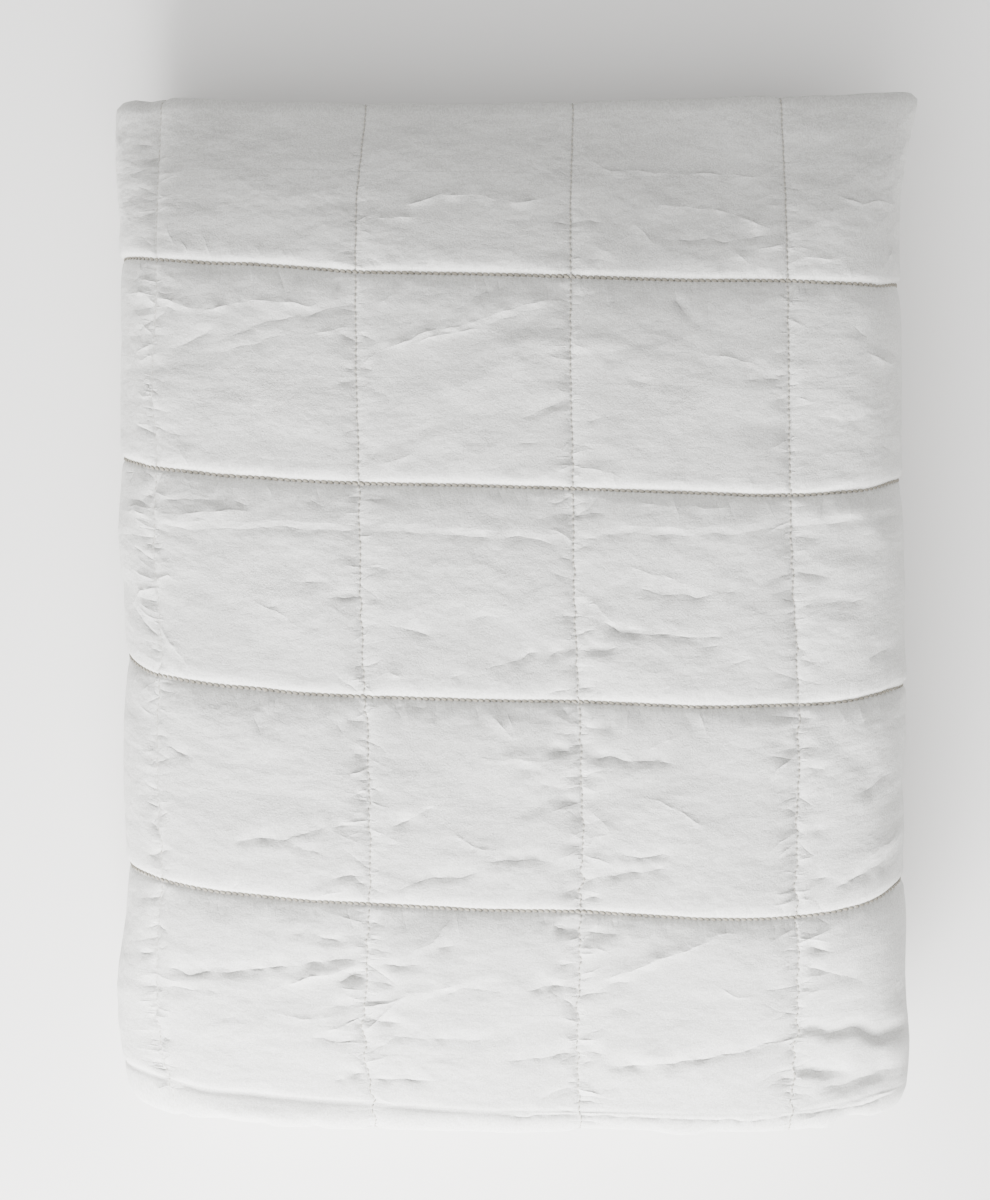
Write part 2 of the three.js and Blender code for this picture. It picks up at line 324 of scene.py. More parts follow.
# The quilting. The lines are one square apart but for the few millimetres that the cloth has
# crept at each, and the wadding raises a pad in each square. A place is a distance along the
# strip (u) or across the plies (v).
SQUARE = 120
CROSS_SEAMS = [-278, -158, -35, 84, 202, 322]
DEPTH_SEAMS = [-315, -195, -75, 45, 165, 286]
PAD_RISE, SEAM_DIP = 1.6, 2.0
FLAT_BEFORE, FLAT_BEHIND = 1.2, 0.9
# How slowly the pad rises: from its sides, from its back seam, from the back seam of the front
# roll at places across it, and from its front seam in rows from the back to the front.
SIDE_SLOPE, BEHIND_SLOPE = 6.0, 8.5
ROLL_SLOPE = ([-50, 150, 190, 215], [3, 4.5, 6, 9])
BEFORE_SLOPE = ([-200, -80, 45], [1.7, 2.0, 2.5])


def seam_lines(known, start, end):
    """The known seams, and those that go on one square apart to both ends of the sheet."""
    lines = list(known)
    while lines[0] - SQUARE > start + 15:
        lines.insert(0, lines[0] - SQUARE)
    while lines[-1] + SQUARE < end - 15:
        lines.append(lines[-1] + SQUARE)
    return np.array(lines)


ALL_CROSS = seam_lines(CROSS_SEAMS, STRIP_START, STRIP_END)
ALL_DEPTH = seam_lines(DEPTH_SEAMS, PLY_START, PLY_END)

# How each seam has been dragged aside on the top: its line, then places along it (from the
# left to the right, or from the back to the front) and how far it stands to the front or
# to the left there.
DEPTH_DRAG = {
    -195: (
        [-240, -202, -150, -118, -85, 0, 106, 165, 191, 216, 235],
        [-7, -5.2, -5.6, -3.4, -1, -0.9, 0.2, -0.4, 2.6, 6, 4],
    ),
    -75: (
        [-243, -205, -177, -149, -120, -86, -19, 37, 105, 139, 179, 204, 235],
        [-6, -2.7, -4.8, -4.2, -2.5, -1.5, -1.7, -1, 0, 0.8, -0.3, 1, -2.3],
    ),
    45: (
        [-243, -223, -209, -179, -150, -122, -88, -20, 36, 104, 162, 191, 235],
        [-11, -6.5, -4.4, -5.4, -4.6, -2.1, -1.2, -0.3, -0.8, 1.2, -1.2, -0.7, -2.6],
    ),
    165: (
        [-243, -212, -182, -153, -124, -90, -22, 35, 104, 138, 180, 204, 235],
        [-7, -5.7, -6.3, -5.5, -3.2, -2.4, 0.3, -0.1, 3.2, 2.8, 0.1, -1.3, -7],
    ),
    286: (
        [-243, -204, -190, -178, -166, -157, -127, -92, -23, 35, 105, 163, 193, 235],
        [-0.4, -0.3, -4.2, -6.6, -9, -9.3, -6.6, -4.6, 1, 1.2, 3, 2, 0.4, 2.5],
    ),
}
CROSS_DRAG = {
    202: (
        [-300, -238, -175, -117, -89, -26, -3, 25, 72, 130, 153, 198, 263, 289],
        [2, 1.3, 0.7, 5.2, 1.5, 5.5, 3, 0.8, 5.1, 5.9, 3.4, 9.8, 10.8, 4.8],
    ),
    84: (
        [-293, -237, -151, -96, -34, 17, 63, 142, 217, 247, 281],
        [-1.4, 3.3, 3.9, 3.1, 2.9, 2.5, 0.3, -0.2, 3.9, 5.8, 0.9],
    ),
    -35: ([-293, -238, -126, -98, -14, 60, 117, 216, 281], [-2.4, 0.8, 2.2, 1.3, 1.5, -1.3, -2.5, 1.1, 0]),
    -158: (
        [-294, -239, -156, -100, -38, 12, 58, 138, 215, 282],
        [-0.6, 0.5, 1.7, 1.9, 0.9, -1.3, -2.9, -1, -3.4, -0.9],
    ),
}
DRAG_SOFTNESS = 8


def dragged(along, across, lines, drags):
    """How far the cloth is dragged aside at a place: the rows of drags say it at the seams
    they name, and it fades to nothing at the other seams."""
    shift = np.zeros(across.shape)
    for line, rows in drags.items():
        n = int(np.argmin(np.abs(lines - line)))
        below = np.clip((across - lines[n - 1]) / (lines[n] - lines[n - 1]), 0, 1)
        above = np.clip((lines[n + 1] - across) / (lines[n + 1] - lines[n]), 0, 1)
        shift += soft_profile(rows, along, DRAG_SOFTNESS) * np.minimum(below, above)
    return shift


def between(at, lines):
    """Distances to the seam before a place and to the seam after it."""
    n = np.clip(np.searchsorted(lines, at), 1, len(lines) - 1)
    return np.abs(at - lines[n - 1]), np.abs(lines[n] - at)


def pad_height(u, v):
    """How full the sheet is, from 0 on a seam to nearly 1 in the middle of a square. The pad
    falls steeply at its front seam and rises slowly from its back seam, but for the front roll."""
    u_low, u_high = between(u, ALL_CROSS)
    v_low, v_high = between(v, ALL_DEPTH)
    sides = (1 - np.exp(-u_low / SIDE_SLOPE)) * (1 - np.exp(-u_high / SIDE_SLOPE))
    behind = np.where(v > DEPTH_SEAMS[-1], np.interp(u, *ROLL_SLOPE), BEHIND_SLOPE)
    before = np.interp(v, *BEFORE_SLOPE)
    v_low, v_high = np.maximum(v_low - FLAT_BEHIND, 0), np.maximum(v_high - FLAT_BEFORE, 0)
    ends = (1 - np.exp(-v_low / behind)) * (1 - np.exp(-v_high / before))
    return sides * ends


# The quilt's mesh. The part of the cloth that shows is a fine grid, and the plies inside
# the bundle are coarse grids. Grids are joined along lines that are hidden in the folds,
# and the two faces are joined along the hems.
HIDDEN_RELIEF, HIDDEN_SLOPE = 1.3, 6
HEM_EDGE = ([0, 0.8, 2.5, 5, 8, 11, 16], [0.5, 1.2, 1.7, 1.8, 1.35, 2.0, 2.7])
CLOSEST_FINE, CLOSEST_COARSE = 0.3, 0.7  # no two lines of a grid lie closer together


def graded(seams, start, end, beside, step, shown=None, side_step=5):
    """Lines at the given distances beside each seam and evenly between the seams, and
    farther apart beyond the part that is shown."""
    lines = [start, end]
    for low, high in zip(seams[:-1], seams[1:]):
        lines += [low] + [low + d for d in beside] + [high - d for d in beside]
        first, last = low + beside[-1], high - beside[-1]
        wide = shown is not None and (high < shown[0] or low > shown[1])
        count = int(round((last - first) / (side_step if wide else step)))
        lines += list(np.linspace(first, last, count + 1)[1:-1])
    lines = sorted(line for line in lines if start <= line <= end)
    kept = [lines[0]]
    for line in lines[1:]:
        if shown is not None and not shown[0] < line < shown[1] and line - kept[-1] < side_step * 0.9:
            if np.abs(seams - line).min() > 0.01:
                continue
        if line - kept[-1] > CLOSEST_FINE:
            kept.append(line)
    kept[-1] = end
    return np.array(kept)


def path_lines(pieces, start, end, stops, key, bend_step, extra):
    """Lines across a folded path: close together in its bends, at the stops in its straight
    runs, and at the extra places."""
    lines = list(extra)
    for piece in pieces:
        first, length = piece["from"], piece["length"]
        if piece["kind"] == "arc":
            lines += list(np.linspace(first, first + length, max(4, round(length / bend_step)) + 1))
        elif piece["kind"] == "run":
            way = piece["way"] if "way" in piece else np.sign(piece["end"] - piece["y"])
            places = [first + way * (stop - piece[key]) for stop in stops]
            lines += [place for place in places if first < place < first + length]
    lines = sorted(line for line in lines if start < line < end)
    kept = [start]
    for line in lines:
        if line - kept[-1] > CLOSEST_COARSE and end - line > CLOSEST_COARSE:
            kept.append(line)
    return np.array(kept + [end])


def hem_distance(u, v):
    ends = np.minimum(u - STRIP_START, STRIP_END - u)
    hems = np.minimum(v - PLY_START, PLY_END - v)
    return np.minimum(ends, hems)


def plain_patch(u_lines, v_lines, face):
    """A coarse grid of one face of the cloth."""
    u, v = np.meshgrid(u_lines, v_lines, indexing="ij")
    half = np.interp(hem_distance(u, v), *HEM_EDGE)
    near = np.minimum(*between(u, ALL_CROSS))
    relief = HIDDEN_RELIEF * np.exp(-near / HIDDEN_SLOPE)
    return cloth_point(u, v, face * np.maximum(half - relief, 0.3))


class Shell:
    """Collects grids of points and the faces between them."""

    def __init__(self):
        self.points, self.faces, self.count = [], [], 0

    def grid(self, points, outward):
        rows, columns = points.shape[:2]
        ids = self.count + np.arange(rows * columns).reshape(rows, columns)
        self.points.append(points.reshape(-1, 3))
        self.count += rows * columns
        a, b, c, d = ids[:-1, :-1], ids[1:, :-1], ids[1:, 1:], ids[:-1, 1:]
        corners = (a, b, c, d) if outward else (a, d, c, b)
        self.faces.extend(np.stack([k.ravel() for k in corners], -1).tolist())
        return ids

    def join(self, first, first_at, second, second_at, turned=False):
        """Faces between two lines of points with different spacing."""
        i = j = 0
        while i < len(first) - 1 or j < len(second) - 1:
            step_first = j == len(second) - 1 or (
                i < len(first) - 1 and first_at[i + 1] <= second_at[j + 1]
            )
            if step_first:
                face = [first[i], first[i + 1], second[j]]
                i += 1
            else:
                face = [first[i], second[j + 1], second[j]]
                j += 1
            self.faces.append([int(k) for k in (face[::-1] if turned else face)])


LATE = 4.0  # the width of the hidden strips that join two grids
wrap_start = next(p["from"] for p in STRIP if p["kind"] == "arc" and p["layer"] == 2)
wrap_end = STRIP[-1]["from"]
top_start = next(p["from"] for p in PLIES if p["kind"] == "arc" and p["out"] == PLY_PITCH)
top_end = PLIES[-1]["from"]
front_bend_start = PLIES[5]["from"]

TOP_SHOWN = (-215, 215)
FINE_STEP, SIDE_STEP = 2.25, 6
BESIDE_CROSS, BESIDE_DEPTH = [0.9, 2, 3.4], [0.7, 1.4, 2.3, 3.6, 5.4]
fine_u = graded(ALL_CROSS, wrap_start, wrap_end, BESIDE_CROSS, FINE_STEP, TOP_SHOWN, SIDE_STEP)
fine_v = graded(ALL_DEPTH, top_start, top_end, BESIDE_DEPTH, FINE_STEP)
hem_lines = HEM_EDGE[0][1:]
strip_hems = [STRIP_START + h for h in hem_lines] + [STRIP_END - h for h in hem_lines]
ply_hems = [PLY_START + h for h in hem_lines] + [PLY_END - h for h in hem_lines]
beside_cross = [line + d for line in ALL_CROSS for d in (-6, 0, 6)]
ACROSS_STOPS = [-150, -125, -95, -30, 35, 100, 125, 150]
ALONG_STOPS = [-270, -245, -220, -190, -150, -70, 20, 110, 170, 195, 212, 228, 243, 258, 273, 286]


def u_lines(start, end, bend_step, extra):
    return path_lines(STRIP, start, end, ACROSS_STOPS, "x", bend_step, extra)


def v_lines(start, end, bend_step=2.6):
    return path_lines(PLIES, start, end, ALONG_STOPS, "y", bend_step, ply_hems)


rough_u = [
    u_lines(STRIP_START, wrap_start - LATE, 9, strip_hems),
    u_lines(wrap_start, wrap_end, 10, []),
    u_lines(wrap_end + LATE, STRIP_END, 9, strip_hems),
]
edge_u = [
    u_lines(STRIP_START, wrap_start - LATE, 8, strip_hems + beside_cross),
    fine_u,
    u_lines(wrap_end + LATE, STRIP_END, 8, strip_hems + beside_cross),
]
rough_v = [
    v_lines(PLY_START, top_start - LATE),
    v_lines(top_start, top_end),
    v_lines(top_end + LATE, PLY_END),
]


# The relief of the top: pads, and dips at the seams. The dips are flatter where the cloth is
# stretched over the sides and the back, and the front seam is only a slight dip in the round
# front roll, which is fuller on the left.
GROOVE, GROOVE_WIDTH = 0.8, 1.6
ROLL_WIDTH, ROLL_GROOVE = 22, 0.4
ROLL_EASE = ([-100, 60, 160], [0.85, 0.6, 0.35])
STRETCHED_SIDES, STRETCHED_BACK, BACK_BEND = (212, 240), (285, 305), (290, 305)
STRETCH_EASE, BEND_EASE = 0.6, 0.8
FULLER_LEFT, FULLER_BY = (60, 170), 0.2


def relief_of_top(u, v):
    """The height of the top face over the cloth's middle, before it is puckered."""
    front_seam = np.exp(-(((v - DEPTH_SEAMS[-1]) / ROLL_WIDTH) ** 2))
    from_seam = np.minimum(*between(v, ALL_DEPTH))
    groove = GROOVE * (1 - ROLL_GROOVE * front_seam) * np.exp(-((from_seam / GROOVE_WIDTH) ** 2))
    stretched = np.maximum(smooth_step(np.abs(u), *STRETCHED_SIDES), smooth_step(-v, *STRETCHED_BACK))
    bent = smooth_step(-v, *BACK_BEND)
    roll = front_seam * np.interp(u, *ROLL_EASE)
    ease = (1 - STRETCH_EASE * stretched) * (1 - roll) * (1 - BEND_EASE * bent)
    dip, rise = SEAM_DIP * ease, PAD_RISE * (1 - roll)
    full = 1 + FULLER_BY * (v > DEPTH_SEAMS[-1]) * smooth_step(u, *FULLER_LEFT)
    pads = full * (rise + dip) * pad_height(u, v)
    return SHEET / 2 - dip + pads - groove * np.maximum(ease, ROLL_GROOVE * front_seam)


top_u, top_v = np.meshgrid(fine_u, fine_v, indexing="ij")
flat_u = top_u + dragged(top_v, top_u, ALL_CROSS, CROSS_DRAG)
flat_v = top_v + dragged(-top_u, top_v, ALL_DEPTH, DEPTH_DRAG)
# Puckers push each cross seam a little to and fro, more towards the front.
SWING_STEP, SWING_REACH = 3.6, 3.0
SWING = ([-300, -100, 100, 300], [0.12, 0.25, 0.65, 0.85])
rng = np.random.default_rng(41)
for seam in ALL_CROSS:
    places = np.arange(top_start, top_end + 4, SWING_STEP)
    swing = rng.normal(0, 1, len(places)) * np.interp(places, *SWING)
    flat_u += np.interp(top_v, places, swing) * np.exp(-((top_u - seam) ** 2) / 2 / SWING_REACH**2)
top_height = relief_of_top(top_u, top_v)
on_cross = np.isin(fine_u, ALL_CROSS)
on_depth = np.isin(fine_v, ALL_DEPTH)
u_low, u_high = between(top_u, ALL_CROSS)
v_low, v_high = between(top_v, ALL_DEPTH)
near_cross = np.minimum(u_low, u_high)
near_depth = np.minimum(v_low, v_high)


# Every crease or pucker is a stroke: a soft ridge or trough in the mesh, and a sharp middle
# line. The line is finer than the mesh, so it is kept apart for the material, in layers
# where lines that cross do not hide each other.
DRAWN_LAYERS, PUCKER_LAYERS = (0, 1, 2), (3, 4, 5)
SHARP_LAYERS = len(DRAWN_LAYERS + PUCKER_LAYERS)
SHARP_REACH, FAR = 4.5, 50
sharp_away = np.full((SHARP_LAYERS,) + top_u.shape, float(FAR))
sharp_height = np.zeros((SHARP_LAYERS,) + top_u.shape)
creases = np.zeros(top_u.shape)


def stroke(
    plane, points, height, front, back, share,
    layers=DRAWN_LAYERS, start=0.0, peak=0.35, widen=(1, 1), fitful=False,
):
    """Raise a soft ridge (or sink a trough) along a line of places in a plane. It is front
    wide on its front side and back wide on its back side. share is the height of its sharp
    line beside its own. With a start it begins at that part of its height and fades from its
    peak on, and else it fades at both ends. widen says how it broadens from end to end, and
    a fitful one comes and goes along its length."""
    across, along = plane
    on_sheet = across is top_u
    reach = 4 * max(front, back) + (0 if on_sheet else 16)
    sign = 1 if on_sheet else -1
    us, vs = [sign * p[0] for p in points], [sign * p[1] for p in points]
    i0, i1 = np.searchsorted(fine_u, [min(us) - reach, max(us) + reach])
    j0, j1 = np.searchsorted(fine_v, [min(vs) - reach, max(vs) + reach])
    if i1 - i0 < 1 or j1 - j0 < 1:
        return
    window = (slice(i0, i1), slice(j0, j1))
    x, y = across[window], along[window]
    total = sum(math.dist(a, b) for a, b in zip(points[:-1], points[1:]))
    best, width, place = np.full(x.shape, 1e9), np.full(x.shape, 1.0), np.zeros(x.shape)
    signed = np.zeros(x.shape)
    done = 0
    for (xa, ya), (xb, yb) in zip(points[:-1], points[1:]):
        length = math.dist((xa, ya), (xb, yb))
        ex, ey = (xb - xa) / length, (yb - ya) / length
        t = np.clip((x - xa) * ex + (y - ya) * ey, 0, length)
        dx, dy = x - xa - t * ex, y - ya - t * ey
        distance = np.hypot(dx, dy)
        nearer = distance < best
        towards_front = sign * dy / np.maximum(distance, 1e-6)
        in_front = np.clip(0.5 + 0.8 * towards_front, 0, 1)
        best = np.where(nearer, distance, best)
        width = np.where(nearer, front * in_front + back * (1 - in_front), width)
        signed = np.where(nearer, distance * np.where(dx * ey - dy * ex < 0, -1, 1), signed)
        place = np.where(nearer, (done + t) / total, place)
        done += length
    if start > 0:
        rise = start + (1 - start) * smooth_step(place, 0, peak)
        fade = rise * (1 - smooth_step(place, peak, 1))
    else:
        end_length = min(12, 0.4 * total)
        from_ends = np.minimum(place, 1 - place) * total
        fade = smooth_step(from_ends, 0, end_length)
    if fitful:
        fade = fade * come_and_go[window]
    width = width * (widen[0] + (widen[1] - widen[0]) * place)
    blunt = 0.5 + 0.5 * width
    creases[window] += height * fade * np.exp(-(np.hypot(best, blunt) - blunt) / width)
    line = share * height * fade * np.exp(-((best / SHARP_REACH) ** 2))
    taken = [(np.abs(sharp_height[n][window]) * (best < 3 * SHARP_REACH)).sum() for n in layers]
    n = layers[int(np.argmin(taken))]
    stronger = np.abs(line) > np.abs(sharp_height[n][window])
    sharp_away[n][window] = np.where(stronger, signed, sharp_away[n][window])
    sharp_height[n][window] = np.where(stronger, line, sharp_height[n][window])


def waves(seed, shortest, longest, size, count=30):
    """A smooth uneven field over the top: many plane waves added up."""
    pick = np.random.default_rng(seed)
    field = np.zeros(top_u.shape)
    for n in range(count):
        length = pick.uniform(shortest, longest)
        heading = pick.uniform(0, math.pi)
        phase = pick.uniform(0, 2 * math.pi)
        along = top_u * math.cos(heading) + top_v * math.sin(heading)
        field += np.sin(2 * math.pi * along / length + phase)
    return field * size / math.sqrt(count / 2)


# A crease isn't quite where it is drawn, nor of one height along its length.
WANDER, FITS = (14, 50, 0.6), (9, 26, 0.42)  # the shortest and the longest wave, and the size
wander_x, wander_y = waves(5, *WANDER), waves(6, *WANDER)
come_and_go = np.clip(1 + waves(17, *FITS), 0.15, 1.9)
# Creases are placed where the camera sees them, in millimetres on the photograph's plane.
from_eye = cloth_point(flat_u, flat_v, top_height) - np.array(camera.location) / MM
depth = -from_eye[..., 1] * math.sin(CAMERA_TILT) - from_eye[..., 2] * math.cos(CAMERA_TILT)
height = from_eye[..., 1] * math.cos(CAMERA_TILT) - from_eye[..., 2] * math.sin(CAMERA_TILT)
to_plane = focal_pixels * PIXEL_MM / depth
SHOWN_PLANE = (
    PHOTO_MIDDLE[0] + from_eye[..., 0] * to_plane + wander_x,
    PHOTO_MIDDLE[1] + height * to_plane + wander_y,
)
SHEET_PLANE = (top_u, top_v)

# The creases that show most, each with its height (below zero for a trough), how wide it is
# on its front side and on its back side, and its places: across, and towards the back.
CREASES = [
    # first row of squares, behind the first seam
    (0.8, 1.2, 2.5, (-89, 225), (-72, 226), (-50, 226)),
    (1.1, 1.6, 5, (-66, 231), (-44, 239), (-21, 238), (2, 235), (19, 235)),
    (-0.5, 2, 3, (-128, 229), (-105, 233), (-93, 234)),
    (0.6, 1.4, 1.4, (-192, 208), (-195, 224)),
    (0.6, 1.4, 1.4, (-184, 203), (-189, 215)),
    (0.6, 1.4, 1.4, (-170, 202), (-178, 221)),
    (0.5, 1.4, 1.4, (-158, 202), (-162, 211)),
    (0.5, 1.4, 1.4, (-141, 201), (-148, 211)),
    (0.5, 1.4, 1.4, (-127, 200), (-136, 213)),
    (-0.9, 1.5, 4, (-218, 268), (-203, 266)),
    (-0.9, 1.5, 4, (-214, 257), (-196, 259)),
    (-0.8, 1.5, 3, (-224, 248), (-205, 253)),
    (-0.9, 1.8, 3, (-215, 226), (-194, 232)),
    (0.8, 2, 5, (36, 260), (45, 256), (54, 251), (77, 251), (108, 250), (136, 250), (153, 255)),
    (0.9, 1.8, 4, (71, 239), (77, 234), (99, 231), (123, 227), (134, 224), (146, 217)),
    (-0.8, 1.5, 3, (82, 213), (102, 214), (117, 213), (130, 215), (148, 217)),
    (0.8, 1.5, 2.5, (119, 210), (126, 204), (135, 197)),
    (1.0, 1.5, 4, (134, 207), (145, 210), (155, 213)),
    (0.6, 1.5, 3, (134, 234), (142, 238), (152, 240)),
    (-0.9, 1.6, 3, (15, 223), (31, 223), (43, 224), (60, 222)),
    (0.6, 2, 4, (60, 228), (68, 220), (77, 211), (86, 202)),
    (0.7, 2.5, 4, (43, 210), (59, 204)),
    (-0.6, 1.5, 2, (33, 207), (42, 213)),
    (-0.5, 1.5, 2, (20, 205), (30, 210)),
    (1.1, 1.8, 4, (177, 239), (188, 236), (196, 233), (203, 236), (216, 231)),
    (0.7, 2, 3, (154, 204), (176, 202), (190, 205)),
    (1.0, 1.4, 1.4, (214, 212), (210, 204), (205, 194)),
    # second row
    (1.3, 2.2, 5, (-224, 183), (-201, 181), (-182, 174), (-167, 175), (-150, 179), (-130, 178),
     (-108, 177)),
    (-1.0, 1.5, 2, (-201, 176), (-186, 172)),
    (-0.8, 2, 3, (-88, 178), (-108, 174), (-136, 167), (-159, 159), (-174, 156)),
    (-1.1, 2, 3, (-200, 150), (-187, 154), (-175, 160), (-168, 166)),
    (-0.7, 2, 4, (-180, 149), (-159, 152), (-142, 157), (-128, 160)),
    (-0.8, 1.5, 3, (-221, 159), (-201, 161)),
    (-0.9, 1.5, 3, (-217, 139), (-205, 141), (-188, 141)),
    (-0.8, 1.5, 3, (-221, 174), (-201, 175)),
    (0.5, 3, 3, (-220, 113), (-203, 125)),
    (-0.8, 1.3, 2, (-88, 134), (-101, 133)),
    (-0.8, 1.3, 2, (-87, 107), (-100, 104)),
    (-0.8, 1.3, 2, (-88, 160), (-100, 157)),
    (-0.7, 1.5, 2, (-89, 161), (-76, 155)),
    (-0.8, 1.5, 2, (-90, 141), (-79, 140)),
    (-0.6, 4, 4, (-80, 128), (-65, 122)),
    (-0.7, 2, 3, (-86, 92), (-71, 95)),
    (1.4, 2.6, 7, (-89, 142), (-75, 152), (-55, 159), (-35, 164), (-16, 170), (2, 175),
     (16, 178), (33, 177)),
    (-0.5, 1.2, 2, (-38, 160), (-13, 167), (4, 172)),
    (-0.7, 1.5, 3, (-35, 173), (-21, 180), (-10, 186)),
    (0.5, 2, 5, (-83, 175), (-66, 184), (-45, 192)),
    (0.5, 2, 4, (-77, 86), (-53, 95)),
    (0.5, 4, 4, (-154, 89), (-131, 95)),
    (-1.0, 1.3, 2.5, (89, 192), (90, 179), (97, 170), (107, 160)),
    (-0.5, 1.2, 1.2, (109, 191), (109, 163)),
    (-0.5, 1.2, 1.2, (123, 191), (125, 182)),
    (-0.4, 1.2, 1.2, (130, 188), (131, 176)),
    (-0.6, 1.8, 3, (46, 146), (62, 144)),
    (-0.5, 2, 3, (61, 137), (77, 131), (93, 132)),
    (-0.8, 2, 3, (115, 134), (134, 133), (155, 135)),
    (-0.9, 1.6, 2.5, (139, 121), (156, 127)),
    (1.1, 1.6, 2.5, (154, 127), (167, 121)),
    (-0.5, 1.8, 3, (35, 110), (62, 116)),
    (0.5, 2, 4, (32, 97), (50, 98), (64, 95)),
    (-0.8, 1.8, 3, (3, 113), (22, 120), (32, 119)),
    (-0.6, 1.8, 3, (-2, 97), (21, 101)),
    (1.0, 1.5, 3, (16, 79), (26, 84), (34, 87)),
    (0.8, 1.5, 2.5, (33, 84), (42, 84), (53, 82), (62, 77)),
    (1.2, 3, 4, (194, 151), (206, 145), (215, 141)),
    (-1.0, 2, 2, (206, 156), (215, 147)),
    (-0.8, 4, 4, (186, 167), (201, 156)),
    (-0.6, 4, 4, (169, 113), (188, 111), (205, 122)),
    (-0.9, 2, 2, (205, 99), (215, 91)),
    # third row, with the long fold behind which the cloth is drawn up
    (-0.9, 3, 1.2, (-222, 71), (-215, 67), (-208, 64), (-203, 64)),
    (-1.1, 3, 1.2, (-203, 66), (-195, 67), (-181, 67), (-161, 67), (-145, 64)),
    (0.9, 4, 4, (-221, 62), (-212, 59), (-204, 58)),
    (1.0, 4, 4.5, (-203, 59), (-190, 59), (-174, 60), (-161, 61), (-143, 63)),
    (0.35, 1.8, 7, (-222, 62), (-210, 58), (-190, 55), (-164, 54), (-142, 56), (-121, 54),
     (-104, 54), (-86, 54)),
    (0.3, 1.4, 6, (-82, 52), (-65, 53), (-44, 51), (-20, 50), (2, 50), (14, 47), (30, 47)),
    (0.3, 1.4, 6, (34, 49), (51, 52), (68, 52), (99, 51), (123, 51), (140, 54), (156, 56),
     (191, 58), (218, 63)),
    (-0.6, 1.4, 2, (-218, 57), (-208, 54), (-203, 53), (-182, 50), (-164, 50), (-142, 52),
     (-121, 50), (-104, 50), (-86, 50)),
    (-0.6, 1.4, 2, (-82, 48), (-65, 49), (-44, 47), (-20, 46), (2, 46), (14, 43), (22, 41), (34, 45)),
    (-0.6, 1.4, 2, (34, 45), (42, 45), (51, 48), (68, 48), (99, 47), (123, 47), (140, 50),
     (156, 52), (191, 54), (220, 59)),
    (-0.6, 1.3, 2, (-226, 47), (-205, 47)),
    (-0.7, 1.3, 2, (-214, 41), (-198, 43)),
    (-1.0, 1.4, 2, (-86, 69), (-97, 69)),
    (-0.9, 1.8, 3, (-87, 67), (-75, 68), (-63, 66)),
    (-0.6, 3, 3, (-118, 68), (-105, 62)),
    (-1.0, 1.6, 3, (-88, 29), (-65, 27)),
    (-0.8, 2.5, 4, (-126, 20), (-105, 20)),
    (-1.3, 1.8, 3.5, (-107, 11), (-87, 13)),
    (-0.6, 2.5, 3, (-143, 6), (-125, 9)),
    (-0.7, 1.5, 2, (-86, 14), (-75, 10)),
    (-0.9, 2.5, 3, (-74, -4), (-59, -7), (-43, -11)),
    (-0.5, 2, 3, (-29, -2), (-16, 1), (-3, 0)),
    (-1.3, 2, 5, (-18, -29), (-5, -24), (2, -23), (8, -20), (19, -18)),
    (-1.4, 2, 4, (14, -25), (25, -19), (33, -17), (40, -19), (48, -18), (61, -15)),
    (-0.5, 3, 3, (-44, -37), (-26, -32)),
    (0.6, 2, 3, (-98, -37), (-84, -34)),
    (0.7, 2, 3, (-84, -36), (-73, -30), (-60, -34)),
    (-0.8, 1.8, 3, (11, -44), (22, -41), (36, -39)),
    (-0.8, 1.8, 3, (35, -40), (48, -37)),
    (-1.1, 1.8, 4, (8, 55), (22, 58), (33, 59), (52, 59)),
    (0.5, 1.5, 3, (64, 66), (83, 63), (128, 62)),
    (-0.8, 2.5, 3, (66, 17), (83, 13), (96, 13), (102, 11), (114, 13), (131, 18)),
    (0.8, 1.5, 1.5, (34, 8), (45, 9), (50, 3), (59, -6)),
    (-1.3, 2.5, 2.5, (46, 2), (60, -8), (76, -9), (96, -10), (119, -10)),
    (-0.6, 1.5, 2, (99, -16), (122, -16)),
    (-0.8, 2, 3, (138, 19), (157, 27)),
    (-0.7, 2, 3, (143, 12), (157, 17)),
    (-0.9, 1.6, 3, (155, 27), (178, 23)),
    (-0.5, 1.2, 2.5, (156, 10), (188, 9), (201, 13)),
    (-1.0, 1.5, 2.5, (155, 46), (172, 43)),
    (-0.5, 4, 4, (115, -28), (141, -22)),
    (-0.7, 4, 4, (197, -24), (215, -14)),
    # fourth row
    (-1.4, 2, 2, (-69, -50), (-50, -50)),
    (-0.6, 2, 2, (-148, -53), (-142, -66)),
    (-0.5, 2, 2, (-102, -56), (-97, -68)),
    (-1.0, 1.5, 2.5, (-83, -57), (-97, -57)),
    (-0.6, 1.5, 2, (-91, -67), (-76, -68)),
    (-0.8, 1.5, 2.5, (-83, -76), (-95, -75)),
    (-1.0, 2, 2, (-82, -95), (-70, -100)),
    (-0.7, 1.5, 2, (-82, -98), (-92, -100)),
    (0.8, 2, 2, (-17, -50), (-9, -60), (0, -71)),
    (0.8, 2, 2, (-7, -50), (2, -70)),
    (0.5, 1.5, 4, (-24, -79), (2, -80), (24, -79)),
    (-0.5, 2, 3, (-2, -85), (16, -84)),
    (-0.8, 2, 3, (-210, -69), (-199, -70), (-192, -75), (-176, -80)),
    (-0.8, 1.5, 3, (-200, -98), (-212, -97)),
    (-0.7, 1.5, 2, (-200, -36), (-212, -37)),
    (0.6, 1.6, 1.6, (18, -50), (26, -58), (37, -61)),
    (-1.2, 1.8, 4, (15, -76), (38, -75)),
    (-0.8, 1.8, 2.5, (37, -61), (50, -62), (56, -65)),
    (-1.1, 2, 4, (37, -79), (53, -78), (65, -80), (77, -81), (92, -83)),
    (0.5, 2, 3, (71, -75), (95, -66)),
    (-0.6, 1.5, 1.5, (51, -50), (54, -65)),
